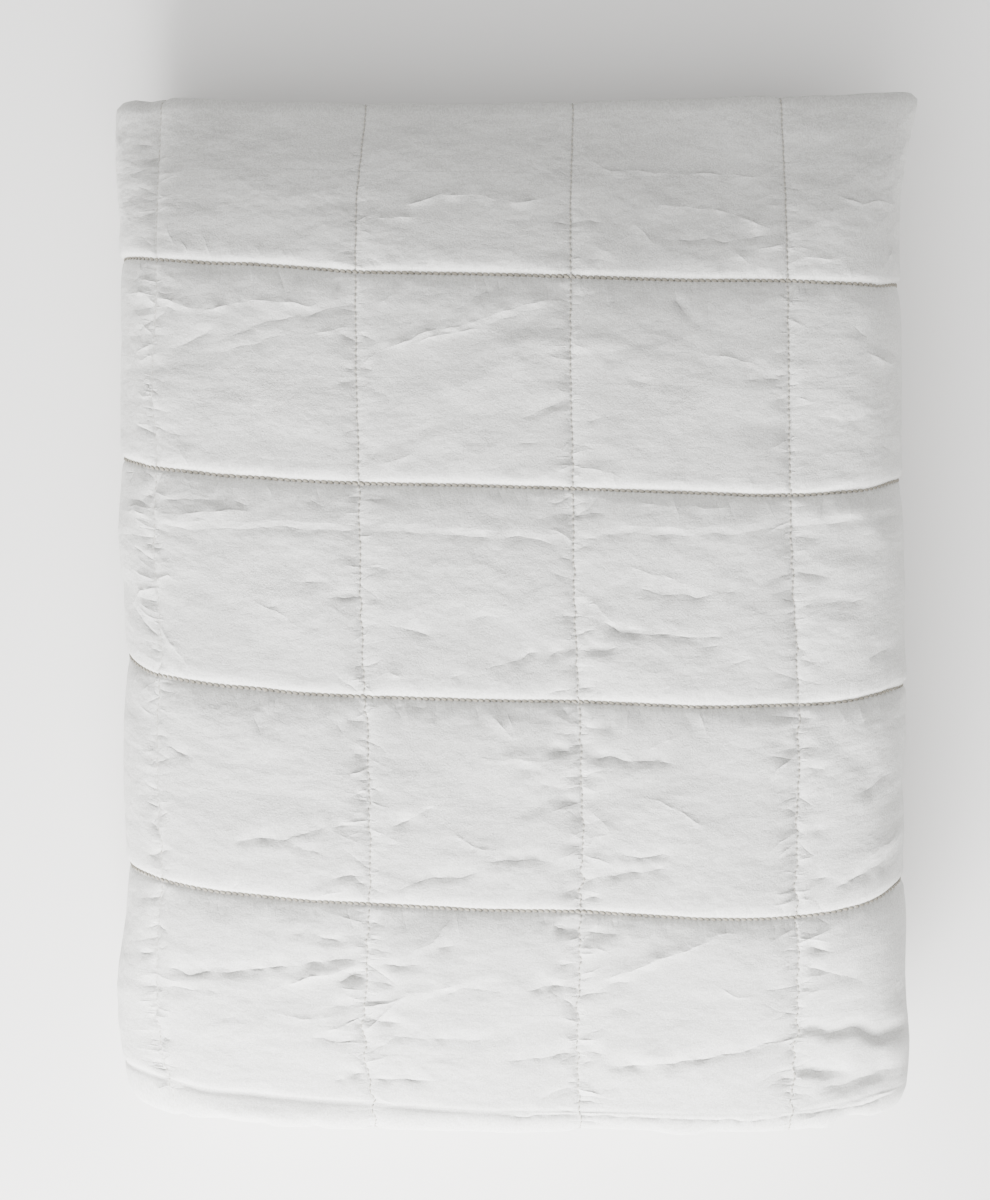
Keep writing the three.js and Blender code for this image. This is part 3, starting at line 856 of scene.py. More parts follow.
    (-0.8, 2, 3, (9, -91), (25, -95), (36, -89)),
    (-0.6, 2, 3, (36, -91), (50, -88)),
    (-1.2, 1.8, 3, (23, -104), (39, -104)),
    (-0.8, 1.8, 3, (143, -75), (160, -72)),
    (-1.1, 1.5, 3, (157, -73), (173, -73)),
    (-1.2, 5, 3, (189, -99), (203, -93), (215, -85)),
    (-0.5, 3, 3, (160, -85), (176, -86)),
    (-1.0, 2, 2, (148, -109), (161, -104)),
    (-0.9, 2, 4, (-161, -126), (-142, -126), (-130, -125), (-115, -119), (-98, -117), (-83, -118)),
    (-1.1, 1.5, 2, (-130, -124), (-118, -130), (-105, -135)),
    (-1.1, 3, 2.5, (-74, -118), (-59, -112), (-42, -104)),
    (-0.8, 1.8, 2.5, (-83, -126), (-66, -128)),
    (-1.2, 1.8, 4, (-67, -154), (-56, -149), (-44, -147), (-30, -146), (-20, -143)),
    (-0.9, 3, 3, (-107, -149), (-93, -144), (-82, -145)),
    (0.9, 2.5, 5, (-123, -159), (-105, -155), (-88, -154)),
    (-1.1, 1.5, 3, (-210, -134), (-199, -131), (-191, -131)),
    (-0.6, 1.5, 3, (-100, -113), (-83, -113)),
    (-1.0, 2, 5, (-17, -136), (2, -137), (10, -136), (24, -138)),
    (0.6, 2, 4, (20, -137), (39, -128)),
    (-0.8, 3, 4, (36, -149), (53, -145), (68, -143), (91, -143)),
    (0.8, 1.5, 2, (38, -106), (48, -116), (58, -126)),
    (-1.1, 1.8, 4, (55, -131), (63, -134), (77, -134), (93, -135)),
    (-0.7, 2, 3, (24, -156), (39, -151)),
    (-0.6, 2, 3, (37, -155), (52, -159)),
    (-0.7, 2, 3, (157, -123), (178, -117)),
    (-0.7, 2, 4, (158, -146), (182, -147)),
    (-1.3, 4, 3, (174, -156), (191, -147), (205, -139), (213, -130)),
    (1.0, 2, 3, (197, -137), (211, -125), (218, -113)),
    (0.7, 2, 3, (-83, -159), (-67, -157)),
    # fifth row, down to the front roll
    (-0.8, 2, 3, (-221, -188), (-200, -189)),
    (-1.1, 2.5, 5, (-203, -194), (-182, -201), (-164, -200), (-142, -197), (-121, -195),
     (-105, -192), (-84, -192)),
    (0.9, 2, 4, (-140, -211), (-124, -205), (-112, -202), (-99, -198), (-88, -194)),
    (-1.4, 2, 3, (-104, -206), (-93, -201), (-82, -200)),
    (-0.9, 2.5, 4, (-214, -207), (-198, -207), (-182, -209), (-165, -212)),
    (-0.9, 1.5, 3, (-215, -158), (-196, -156)),
    (-0.8, 1.5, 3, (-214, -182), (-201, -179)),
    (-0.7, 2, 3, (-107, -219), (-84, -218)),
    (-0.9, 2, 3, (-101, -228), (-84, -225)),
    (-1.1, 3, 3, (-117, -236), (-101, -238), (-90, -238), (-83, -235)),
    (-1.2, 2, 3, (-84, -224), (-75, -228), (-60, -228)),
    (-1.3, 2.5, 4, (-104, -261), (-93, -258), (-82, -256)),
    (-1.1, 2, 4, (-83, -258), (-67, -260), (-42, -261)),
    (-1.2, 2, 3, (-82, -195), (-67, -196), (-50, -195)),
    (0.8, 3, 3, (-63, -191), (-47, -182), (-34, -167)),
    (-0.9, 2, 3, (-83, -204), (-67, -207)),
    (0.6, 3, 5, (-71, -213), (-44, -208), (-24, -205)),
    (-0.7, 6, 5, (-54, -214), (-29, -208), (-3, -211)),
    (-0.6, 3, 3, (-46, -186), (-28, -185)),
    (-0.5, 3, 6, (-83, -235), (-29, -238), (4, -236)),
    (-0.9, 2, 3, (-215, -253), (-201, -252), (-196, -249)),
    (-0.8, 2, 3, (-202, -234), (-190, -239)),
    (-0.7, 2, 3, (-129, -178), (-112, -178), (-98, -182), (-82, -181)),
    (-0.9, 1.5, 2, (-83, -172), (-72, -174)),
    (-0.7, 1.5, 2, (-83, -182), (-72, -181)),
    (-1.1, 1.8, 2, (20, -172), (30, -175), (37, -173)),
    (-1.3, 2, 4, (37, -174), (46, -178), (59, -178)),
    (-1.1, 2, 3, (20, -196), (38, -195)),
    (-1.2, 2, 4, (1, -209), (16, -208), (36, -208), (45, -209)),
    (0.9, 1.8, 4, (42, -209), (50, -204), (63, -199), (77, -193), (96, -187), (113, -180)),
    (-1.0, 2, 2, (43, -211), (56, -205), (69, -204)),
    (-0.6, 2, 3, (51, -219), (67, -222)),
    (-1.0, 3, 5, (-8, -249), (14, -248), (38, -243)),
    (-0.8, 2, 3, (36, -243), (50, -246)),
    (-1.6, 2.5, 4, (9, -272), (22, -267), (37, -261)),
    (-1.1, 2, 3, (36, -261), (45, -264), (62, -264)),
    (-1.0, 3, 5, (48, -253), (99, -250), (122, -245), (142, -239), (160, -232)),
    (-0.9, 2, 3, (158, -178), (172, -178)),
    (-1.0, 2, 3, (158, -185), (185, -188)),
    (-0.8, 2, 3, (158, -195), (150, -195)),
    (-0.9, 3, 4, (158, -196), (173, -198), (185, -202), (199, -205)),
    (-0.9, 2, 3, (158, -208), (173, -208)),
    (-1.0, 3, 3, (143, -262), (160, -258)),
    (0.6, 2, 3, (104, -180), (128, -178)),
]
# Strength and sharpness by how far back a crease begins. The high ones of the back rows are
# lower, crisper and narrower than the table says.
CREASE_WIDTH = 0.72
STRENGTH_BY_ROW = ([-180, -150, 40, 60, 90, 180, 205], [1.05, 0.95, 0.95, 0.75, 0.65, 0.65, 0.85])
SHARPNESS_BY_ROW = ([20, 50, 90, 180, 205], [1.3, 1.3, 1.3, 1.4, 1.8])
HIGH_RIDGE, BACK_ROWS = 0.75, 75
HIGH_GAIN, HIGH_CRISP, HIGH_FRONT, HIGH_BACK = 0.72, 1.3, 0.75, 0.7
# The deep soft folds at the right end of the front row, drawn in towards the last seam.
SOFT_FOLDS = [
    (-2.8, 1.5, 3, (155, -233), (163, -231), (171, -231), (180, -233)),
    (-3.7, 2.0, 4.5, (170, -236), (182, -233), (191, -231), (199, -233), (208, -236),
     (215, -232), (221, -226)),
    (-3.9, 1.6, 4, (153, -254), (165, -255), (178, -256), (191, -255)),
    (-3.3, 2.6, 5, (168, -266), (182, -263), (192, -261), (198, -259), (206, -256), (217, -252)),
]
# Thin sharp creases, like those of folded paper: height and places.
FINE_CREASES = [
    (0.35, (-202, 93), (-198, 88), (-196, 86)),
    (0.30, (-192, 99), (-187, 90), (-184, 83), (-177, 77)),
    (0.30, (-90, 164), (-101, 162), (-118, 159)),
    (0.35, (-60, 154), (-38, 160), (-12, 167)),
    (0.30, (100, 150), (120, 146), (138, 141)),
    (0.30, (-150, 10), (-131, 2), (-118, -7)),
    (0.30, (60, 30), (84, 24), (101, 17)),
    (0.30, (-40, -120), (-22, -128), (-8, -131)),
    (0.30, (70, -100), (92, -108), (109, -120)),
    (0.30, (-140, -220), (-120, -226), (-101, -223)),
    (0.30, (110, -205), (126, -214), (140, -217)),
    (-0.7, (-12, -280), (47, -280.6), (104, -281.8), (132, -281.8), (160, -279), (188, -276),
     (205, -272), (216, -265.5)),
]
SOFT_SHARE, FINE_SHARE, FINE_WIDTH = 0.3, 3.5, 0.9
for height, front, back, *places in CREASES:
    begins = places[0][1]
    gain = np.interp(begins, *STRENGTH_BY_ROW)
    crisp = np.interp(begins, *SHARPNESS_BY_ROW)
    if height > HIGH_RIDGE and begins > BACK_ROWS:
        gain, crisp = HIGH_GAIN * gain, HIGH_CRISP * crisp
        front, back = HIGH_FRONT * front, HIGH_BACK * back
    widths = CREASE_WIDTH * front, CREASE_WIDTH * back
    stroke(SHOWN_PLANE, places, gain * height, *widths, crisp, fitful=True)
for height, front, back, *places in SOFT_FOLDS:
    stroke(SHOWN_PLANE, places, height, front, back, SOFT_SHARE)
for height, *places in FINE_CREASES:
    stroke(SHOWN_PLANE, places, height, FINE_WIDTH, FINE_WIDTH, FINE_SHARE)

# Puckers at the cross seams: short ridges that start at the stitches and reach into the
# squares on both sides, longer and higher towards the front. Most are slight.
CROSS_STEP, CROSS_REACH = (3, 7), (4, 24)
CROSS_STRENGTH = ([-300, -150, 0, 150, 300], [0.6, 0.8, 0.9, 1.1, 1.25])
SIDE_STRENGTH, SIDE_SEAMS = ([0, 200], [1.25, 0.8]), 200
for seam in ALL_CROSS:
    if not wrap_start < seam < wrap_end:
        continue
    at = top_start
    while at < top_end:
        at += rng.uniform(*CROSS_STEP)
        strength = np.interp(at, *CROSS_STRENGTH)
        strength *= np.interp(at, *SIDE_STRENGTH) if abs(seam) > SIDE_SEAMS else 1.0
        for side in (-1, 1):
            reach = rng.uniform(*CROSS_REACH) * strength
            slope = rng.normal(0, 0.32)
            height = (0.08 + 0.44 * rng.uniform() ** 2.5) * strength * rng.choice([-1, 1])
            bend = rng.normal(0, 0.15)
            points = [
                (seam + side * 0.6, at),
                (seam + side * reach * 0.5, at + slope * reach * 0.5),
                (seam + side * reach, at + (slope + bend) * reach),
            ]
            stroke(
                SHEET_PLANE, points, height, front=1.2, back=1.8, share=3.9,
                layers=PUCKER_LAYERS, start=0.8, peak=0.2, widen=(0.5, 1.9),
            )

# Puckers at the depth seams: shorter and weaker, mostly on the front side of the seam.
DEPTH_STEP, DEPTH_REACH = (3.5, 9), (5, 20)
BACK_SHARE, ROLL_SHARE = 0.6, 0.2
for seam in ALL_DEPTH:
    if not top_start < seam < top_end:
        continue
    at = wrap_start
    while at < wrap_end:
        at += rng.uniform(*DEPTH_STEP)
        for side, share in ((1, 1.0), (-1, BACK_SHARE)):
            reach = rng.uniform(*DEPTH_REACH) * (0.5 + 0.5 * share)
            lean = rng.normal(0, 0.3)
            height = (0.1 + 0.6 * rng.uniform() ** 2) * share * rng.choice([-1, 1])
            height *= ROLL_SHARE if seam == DEPTH_SEAMS[-1] else 1
            points = [(at, seam + side * 1.0), (at + lean * reach, seam + side * reach)]
            stroke(
                SHEET_PLANE, points, height, front=1.3, back=1.3, share=2.2,
                layers=PUCKER_LAYERS, start=0.6, peak=0.3, widen=(0.6, 2.0),
            )

# Faint creases all over, mostly across the bundle. Every fifth one is broad, long and soft.
FAINT_CREASES, EVERY_BROAD = 650, 5
BROAD_SHARE, NARROW_SHARE = 0.2, 0.5
for n in range(FAINT_CREASES):
    u0 = rng.uniform(wrap_start + 10, wrap_end - 10)
    v0 = rng.uniform(top_start + 5, top_end - 5)
    broad = n % EVERY_BROAD == 0
    length = rng.uniform(18, 50) if broad else rng.uniform(5, 22)
    angle = rng.normal(0.12, 0.35)
    turn = rng.normal(0, 0.3)
    height = rng.uniform(-0.9, 0.9) if broad else rng.uniform(-0.3, 0.25)
    front = rng.uniform(4, 9) if broad else rng.uniform(1.1, 2.4)
    back = rng.uniform(4, 11) if broad else rng.uniform(1.4, 3.2)
    middle = (u0 - length * math.cos(angle), v0 - length * math.sin(angle))
    end = (middle[0] - length * math.cos(angle + turn), middle[1] - length * math.sin(angle + turn))
    share = BROAD_SHARE if broad else NARROW_SHARE
    points = [(u0, v0), middle, end]
    stroke(SHEET_PLANE, points, height, front, back, share, DRAWN_LAYERS + PUCKER_LAYERS)

# The stitches hold the cloth down on the seams themselves.
HELD_BESIDE_CROSS, HELD_BESIDE_DEPTH = 1.0, 1.6
keep_off = 1 - np.exp(-near_cross / HELD_BESIDE_CROSS)
keep_off = keep_off * (1 - np.exp(-near_depth / HELD_BESIDE_DEPTH))
target = top_height + creases * keep_off


# The crumple: the sewn face is a little longer than the room it has near the seams, more so
# in some patches and towards the front, and the wadding pushes it back.
ROUNDS = 400
LONGER_V, LONGER_V_REACH, LONGER_V_ALL = 0.016, 12, 0.006
LONGER_U, LONGER_U_REACH, LONGER_U_ALL = 0.022, 8, 0.003
LONGER_IN_FRONT = ([-300, 0, 300], [0.7, 1, 1.35])
PATCHES, PATCH_REACH, PATCH_HEIGHT = 160, 24, 1.6
BARE_PATCH, FULL_PATCH = 0.2, 1.5
SLANTED_STIFFNESS = 0.25
BENDING, KEPT_BEND = 0.012, 0.7
PUSH_UP, PUSH_AT_SEAM, PUSH_REACH, PUSH_ALONG = 0.010, 0.02, 5, 0.01


def curvature(field):
    """How far each point lies below its four neighbours together."""
    bend = np.zeros(field.shape)
    bend[1:-1, 1:-1] = (
        field[2:, 1:-1] + field[:-2, 1:-1] + field[1:-1, 2:] + field[1:-1, :-2] - 4 * field[1:-1, 1:-1]
    )
    return bend


def relax():
    """Let the sewn face of the cloth find its own shape between its stitches. Threads of a
    set length join the points, and the points of the seams and the edges are held."""
    pu, pv, ph = flat_u.copy(), flat_v.copy(), target.copy()
    patchy = np.zeros(top_u.shape)
    for n in range(PATCHES):
        u0, v0 = rng.uniform(wrap_start, wrap_end), rng.uniform(top_start, top_end)
        away = (top_u - u0) ** 2 + (top_v - v0) ** 2
        patchy += rng.uniform(0, PATCH_HEIGHT) * np.exp(-away / 2 / PATCH_REACH**2)
    patchy = np.clip(patchy - BARE_PATCH, 0, FULL_PATCH)
    longer_v = LONGER_V * np.exp(-near_cross / LONGER_V_REACH) + LONGER_V_ALL
    longer_v = np.interp(top_v, *LONGER_IN_FRONT) * longer_v * patchy
    longer_u = LONGER_U * np.exp(-near_depth / LONGER_U_REACH) + LONGER_U_ALL
    free = np.ones(top_u.shape)
    free[on_cross, :] = 0
    free[:, on_depth] = 0
    free[[0, -1], :] = 0
    free[:, [0, -1]] = 0

    threads = []
    nu, nv = top_u.shape
    for parity in (0, 1):
        a = (slice(None), slice(parity, nv - 1, 2))
        b = (slice(None), slice(parity + 1, nv, 2))
        threads.append((a, b, longer_v, 1.0))
        a = (slice(parity, nu - 1, 2), slice(None))
        b = (slice(parity + 1, nu, 2), slice(None))
        threads.append((a, b, longer_u, 1.0))
    both = (longer_u + longer_v) / 2
    for parity in (0, 1):
        rows_a, rows_b = slice(parity, nu - 1, 2), slice(parity + 1, nu, 2)
        before, after = slice(0, nv - 1), slice(1, nv)
        threads.append(((rows_a, before), (rows_b, after), both, SLANTED_STIFFNESS))
        threads.append(((rows_a, after), (rows_b, before), both, SLANTED_STIFFNESS))
    prepared = []
    for a, b, longer, stiff in threads:
        n = min(pu[a].shape[0], pu[b].shape[0]), min(pu[a].shape[1], pu[b].shape[1])
        cut = (slice(0, n[0]), slice(0, n[1]))
        squares = [(field[b][cut] - field[a][cut]) ** 2 for field in (pu, pv, target)]
        rest = np.sqrt(squares[0] + squares[1] + squares[2]) * (1 + longer[a][cut])
        free_a, free_b = free[a][cut], free[b][cut]
        total = np.maximum(free_a + free_b, 1e-9)
        prepared.append((a, b, cut, rest, stiff * free_a / total, stiff * free_b / total))

    push = PUSH_UP + PUSH_AT_SEAM * np.exp(-near_depth / PUSH_REACH)
    own_bend = curvature(top_height + KEPT_BEND * (target - top_height))
    for n in range(ROUNDS):
        for a, b, cut, rest, share_a, share_b in prepared:
            ends_a = [field[a][cut] for field in (pu, pv, ph)]
            ends_b = [field[b][cut] for field in (pu, pv, ph)]
            apart = [end_b - end_a for end_a, end_b in zip(ends_a, ends_b)]
            length = np.sqrt(apart[0] * apart[0] + apart[1] * apart[1] + apart[2] * apart[2])
            pull = (length - rest) / length
            move_a, move_b = pull * share_a, pull * share_b
            for end_a, end_b, gap in zip(ends_a, ends_b, apart):
                end_a += move_a * gap
                end_b -= move_b * gap
        bend = curvature(ph) - own_bend
        bend[free == 0] = 0
        ph -= BENDING * curvature(bend) * free
        ph += push * (target - ph) * free
        pu += PUSH_ALONG * (flat_u - pu) * free
        pv += PUSH_ALONG * (flat_v - pv) * free
    return pu, pv, ph


shape_u, shape_v, shape_h = relax()

shell = Shell()
grids, grid_u, grid_v = {}, {}, {}
for m in range(3):
    for n in range(3):
        grid_u[m, n] = edge_u[m] if n == 1 else rough_u[m]
        grid_v[m, n] = fine_v if (m, n) == (1, 1) else rough_v[n]
        if m == 1 and n == 1:
            points = cloth_point(shape_u, shape_v, shape_h)
        else:
            points = plain_patch(grid_u[m, n], grid_v[m, n], 1)
        grids[m, n] = shell.grid(points, True)

for m in range(3):
    for n in range(2):
        shell.join(grids[m, n][:, -1], grid_u[m, n], grids[m, n + 1][:, 0], grid_u[m, n + 1])
for n in range(3):
    for m in range(2):
        shell.join(grids[m, n][-1], grid_v[m, n], grids[m + 1, n][0], grid_v[m + 1, n], True)
for m in range(2):
    for n in range(2):
        near_corners = [grids[m, n][-1, -1], grids[m + 1, n][0, -1]]
        far_corners = [grids[m + 1, n + 1][0, 0], grids[m, n + 1][-1, 0]]
        shell.faces.append([int(c) for c in near_corners + far_corners])

inner_u = u_lines(STRIP_START, STRIP_END, 10, strip_hems)
inner_v = v_lines(PLY_START, PLY_END)
inside = shell.grid(plain_patch(inner_u, inner_v, -1), False)
for n, turned in ((0, True), (2, False)):
    column = 0 if n == 0 else -1
    edge = np.concatenate([grids[m, n][:, column] for m in range(3)])
    places = np.concatenate([grid_u[m, n] for m in range(3)])
    shell.join(edge, places, inside[:, column], inner_u, turned)
for m, turned in ((0, False), (2, True)):
    row = 0 if m == 0 else -1
    edge = np.concatenate([grids[m, n][row] for n in range(3)])
    places = np.concatenate([grid_v[m, n] for n in range(3)])
    shell.join(edge, places, inside[row], inner_v, turned)

quilt_mesh = bpy.data.meshes.new("quilt_cloth")
quilt_mesh.from_pydata((np.concatenate(shell.points) * MM).tolist(), [], shell.faces)
quilt_mesh.update()
quilt_mesh.polygons.foreach_set("use_smooth", [True] * len(quilt_mesh.polygons))
quilt = bpy.data.objects.new("quilt_cloth", quilt_mesh)
bpy.context.scene.collection.objects.link(quilt)

# The flat place of each point of the cloth, for the weave, and its distance from the nearest seam, for the
# small marks that each stitch leaves. The needle holes are nearly closed along the left seam and along the
# front roll, so their marks and their painted shade fade there.
SUNK_SEAM, SUNK_CLOSED, SUNK_REACH = 202, 0.75, 20
FRONT_CLOSED = ([-20, 70, 160, 270, 276, 277], [0, 0.1, 0.3, 0.6, 0.7, 1])
STITCH_PITCH, MARK_LIFT = 3.5, 0.30
BETWEEN_STITCHES = 0.25
flat = np.zeros((shell.count, 2))
for key, ids in list(grids.items()) + [("inside", inside)]:
    us, vs = (inner_u, inner_v) if key == "inside" else (grid_u[key], grid_v[key])
    u, v = np.meshgrid(us, vs, indexing="ij")
    flat[ids.ravel()] = np.stack([u.ravel(), v.ravel()], -1) * MM


def on_top(values, elsewhere):
    """A value for each point of the cloth: those of the fine grid, and one for the rest."""
    spread = np.full(shell.count, float(elsewhere))
    spread[grids[1, 1].ravel()] = values.ravel()
    return spread


def stitch_phase(row):
    """Stitches counted along a row of points, as they will be set out along it."""
    steps = np.linalg.norm(np.diff(row, axis=0), axis=1)
    run = np.concatenate([[0], np.cumsum(steps)])
    count = int(run[-1] / STITCH_PITCH)
    return run / run[-1] * count


left_seam = SUNK_CLOSED * (np.abs(top_u - SUNK_SEAM) < SUNK_REACH)
top_points = cloth_point(shape_u, shape_v, shape_h + MARK_LIFT)
depth_rows, cross_rows = np.flatnonzero(on_depth), np.flatnonzero(on_cross)
depth_phases = np.stack([stitch_phase(top_points[:, j]) for j in depth_rows])
cross_phases = np.stack([stitch_phase(top_points[i]) for i in cross_rows])
nearest_depth = np.argmin(np.abs(fine_v[:, None] - fine_v[depth_rows][None]), 1)
nearest_cross = np.argmin(np.abs(fine_u[:, None] - fine_u[cross_rows][None]), 1)
corner_points = np.zeros(len(quilt_mesh.loops), dtype=np.int32)
quilt_mesh.loops.foreach_get("vertex_index", corner_points)
uv_layer = quilt_mesh.uv_layers.new(name="flat")
uv_layer.data.foreach_set("uv", flat[corner_points].ravel())
for name, values, elsewhere in (
    ("from_depth_seam", np.where(v_low < v_high, v_low, -v_high) * MM, FAR * MM),
    ("from_cross_seam", np.where(u_low < u_high, u_low, -u_high) * MM, FAR * MM),
    ("phase_depth", depth_phases[nearest_depth].T, BETWEEN_STITCHES),
    ("phase_cross", cross_phases[nearest_cross], BETWEEN_STITCHES),
    ("closed_holes", np.maximum(left_seam, np.interp(top_v, *FRONT_CLOSED)), 0),
):
    attribute = quilt_mesh.attributes.new(name, "FLOAT", "POINT")
    attribute.data.foreach_set("value", on_top(values, elsewhere).astype(np.float32))
for half, layers in (("a", DRAWN_LAYERS), ("b", PUCKER_LAYERS)):
    away = [on_top(sharp_away[n] * MM, FAR * MM) for n in layers]
    tall = [on_top(sharp_height[n] * keep_off * MM, 0) for n in layers]
    for name, values in (("line_away_", away), ("line_height_", tall)):
        attribute = quilt_mesh.attributes.new(name + half, "FLOAT_VECTOR", "POINT")
        attribute.data.foreach_set("vector", np.stack(values, -1).astype(np.float32).ravel())


class Graph:
    """Short calls for adding nodes to a tree and joining them."""

    def __init__(self, tree):
        self.tree = tree

    def node(self, kind, settings=None, **inputs):
        node = self.tree.nodes.new(kind)
        for name, value in (settings or {}).items():
            setattr(node, name, value)
        for name, value in inputs.items():
            self.put(node, name.replace("_", " "), value)
        return node

    def put(self, node, key, value):
        socket = node.inputs[key]
        if hasattr(value, "is_output"):
            self.tree.links.new(value, socket)
        else:
            socket.default_value = value

    def math(self, operation, *values):
        node = self.node("ShaderNodeMath", {"operation": operation})
        for n, value in enumerate(values):
            self.put(node, n, value)
        return node.outputs[0]

    def times(self, first, *others):
        for other in others:
            first = self.math("MULTIPLY", first, other)
        return first

    def plus(self, first, *others):
        for other in others:
            first = self.math("ADD", first, other)
        return first

    def falling(self, distance, width):
        """From one at no distance towards nothing."""
        return self.math("POWER", 2.718, self.math("MULTIPLY", distance, -1 / width))

    def ramp(self, value, from_low, from_high, to_low=0.0, to_high=1.0, kind="LINEAR"):
        node = self.node("ShaderNodeMapRange", {"interpolation_type": kind}, Value=value)
        for n, number in enumerate((from_low, from_high, to_low, to_high), 1):
            self.put(node, n, number)
        return node.outputs[0]

    def blend(self, share, first, second, clamped=True):
        """One colour turning into another."""
        node = self.node("ShaderNodeMix", {"data_type": "RGBA", "clamp_factor": clamped})
        for n, value in ((0, share), (6, first), (7, second)):
            self.put(node, n, value)
        return node.outputs[2]

    def attribute(self, name, output="Fac"):
        return self.node("ShaderNodeAttribute", {"attribute_name": name}).outputs[output]

    def axes(self, vector):
        return self.node("ShaderNodeSeparateXYZ", Vector=vector).outputs


# The washed cotton: off-white and matt, a little mottled, with yarns of uneven tone, and with painted shade
# in its needle holes.
COTTON_LIGHT, COTTON_DARK = (0.652, 0.650, 0.627, 1), (0.613, 0.609, 0.586, 1)
# The colour of the painted shade in the needle holes, which stands in for the shadow in each pit.
NEEDLE_HOLE_SHADE = (0.09, 0.082, 0.07, 1)
YARN_CELL, YARN_SHARE = 0.0006, 3.8
cotton = bpy.data.materials.new("washed_cotton")
cotton.use_nodes = True
g = Graph(cotton.node_tree)
shader = cotton.node_tree.nodes["Principled BSDF"]
uv = g.node("ShaderNodeUVMap", {"uv_map": "flat"}).outputs["UV"]
mottle = g.node("ShaderNodeTexNoise", Vector=uv, Scale=60.0, Detail=4.0, Roughness=0.6)
cells = g.node("ShaderNodeVectorMath", {"operation": "SNAP"})
g.put(cells, 0, uv)
g.put(cells, 1, (YARN_CELL, YARN_CELL, YARN_CELL))
yarn = g.node("ShaderNodeTexWhiteNoise", {"noise_dimensions": "3D"}, Vector=cells.outputs["Vector"])
uneven = g.times(g.math("SUBTRACT", yarn.outputs["Value"], 0.5), YARN_SHARE)
cotton_tone = g.blend(g.plus(mottle.outputs["Fac"], uneven), COTTON_LIGHT, COTTON_DARK, clamped=False)
g.put(shader, "Roughness", 0.85)
g.put(shader, "Specular IOR Level", 0.15)
g.put(shader, "Sheen Weight", 0.12)
g.put(shader, "Sheen Roughness", 0.5)

# Its fine relief: the weave, thick threads, and the small sharp creases of washed cotton,
# which lie mostly across the bundle and come and go from place to place. Each row is a noise:
# the size of its marks in metres, along the strip and across the plies, its detail, roughness
# and twist, how sharp its ridges are, or None for a soft one, and its height.
WEAVE_PITCH, WEAVE_HEIGHT = 0.00045, 0.000022
THICK_THREADS = [
    (0.0010, 0.0010, 1.0, 0.50, 0.0, None, 0.000204),
    (0.0042, 0.0019, 2.0, 0.60, 0.0, None, 0.000102),
    (0.0034, 0.0026, 4.0, 0.75, 0.3, None, 0.000170),
]
CRUMPLE = [
    (0.040, 0.019, 2.0, 0.45, 0.6, 8.0, 0.00010),
    (0.020, 0.013, 2.0, 0.45, 0.5, 6.0, 0.00006),
    (0.019, 0.012, 2.0, 0.55, 0.0, None, 0.0018),
    (0.050, 0.030, 1.0, 0.40, 0.4, None, 0.0022),
]


def stretched_noise(pitch_u, pitch_v, detail, roughness, twist=0.0):
    """Noise with marks of the given sizes, in metres, along the strip and across the plies."""
    scaled = g.node("ShaderNodeMapping", Vector=uv, Scale=(1 / pitch_u, 1 / pitch_v, 1.0))
    noise = g.node("ShaderNodeTexNoise", Vector=scaled.outputs["Vector"], Scale=1.0, Detail=detail)
    g.put(noise, "Roughness", roughness)
    g.put(noise, "Distortion", twist)
    return noise.outputs["Fac"]


def relief(rows):
    """The noises of the rows added up. A sharp one has a line where it passes its middle."""
    layers = []
    for *marks, sharpness, height in rows:
        noise = stretched_noise(*marks)
        if sharpness:
            noise = g.falling(g.math("ABSOLUTE", g.math("SUBTRACT", noise, 0.5)), 1 / sharpness)
        layers.append(g.times(noise, height))
    return g.plus(*layers)


flat_axes = g.axes(uv)
warp, weft = [g.math("SINE", g.times(flat_axes[axis], 2 * math.pi / WEAVE_PITCH)) for axis in "XY"]
fine = g.plus(g.times(warp, weft, WEAVE_HEIGHT), relief(THICK_THREADS))
patches = g.ramp(stretched_noise(0.07, 0.045, 1.0, 0.5), 0.3, 0.65, 0.45, 1.0)
rougher_behind = g.ramp(flat_axes["Y"], -0.25, -0.17, 1.6, 1.0)
smoother_in_front = g.ramp(flat_axes["Y"], 0.10, 0.24, 1.0, 0.78)
crumple = g.times(relief(CRUMPLE), g.times(patches, rougher_behind))
fine = g.times(g.plus(fine, crumple), smoother_in_front)

# The sharp middle lines of the creases, a little wavy and broken.
SHARP_WIDTH, SHARP_SHARE, WAVER = 0.0012, 0.40, 0.0016
waver = g.times(g.math("SUBTRACT", stretched_noise(0.005, 0.005, 2.0, 0.5), 0.5), WAVER)
broken = g.ramp(stretched_noise(0.009, 0.007, 1.0, 0.5), 0.38, 0.62, 0.35, 1.35)
for half in "ab":
    away = g.axes(g.attribute("line_away_" + half, "Vector"))
    tall = g.axes(g.attribute("line_height_" + half, "Vector"))
    for axis in "XYZ":
        off = g.math("ABSOLUTE", g.plus(away[axis], waver))
        line = g.times(g.falling(off, SHARP_WIDTH), tall[axis], broken, SHARP_SHARE)
        fine = g.plus(fine, line)

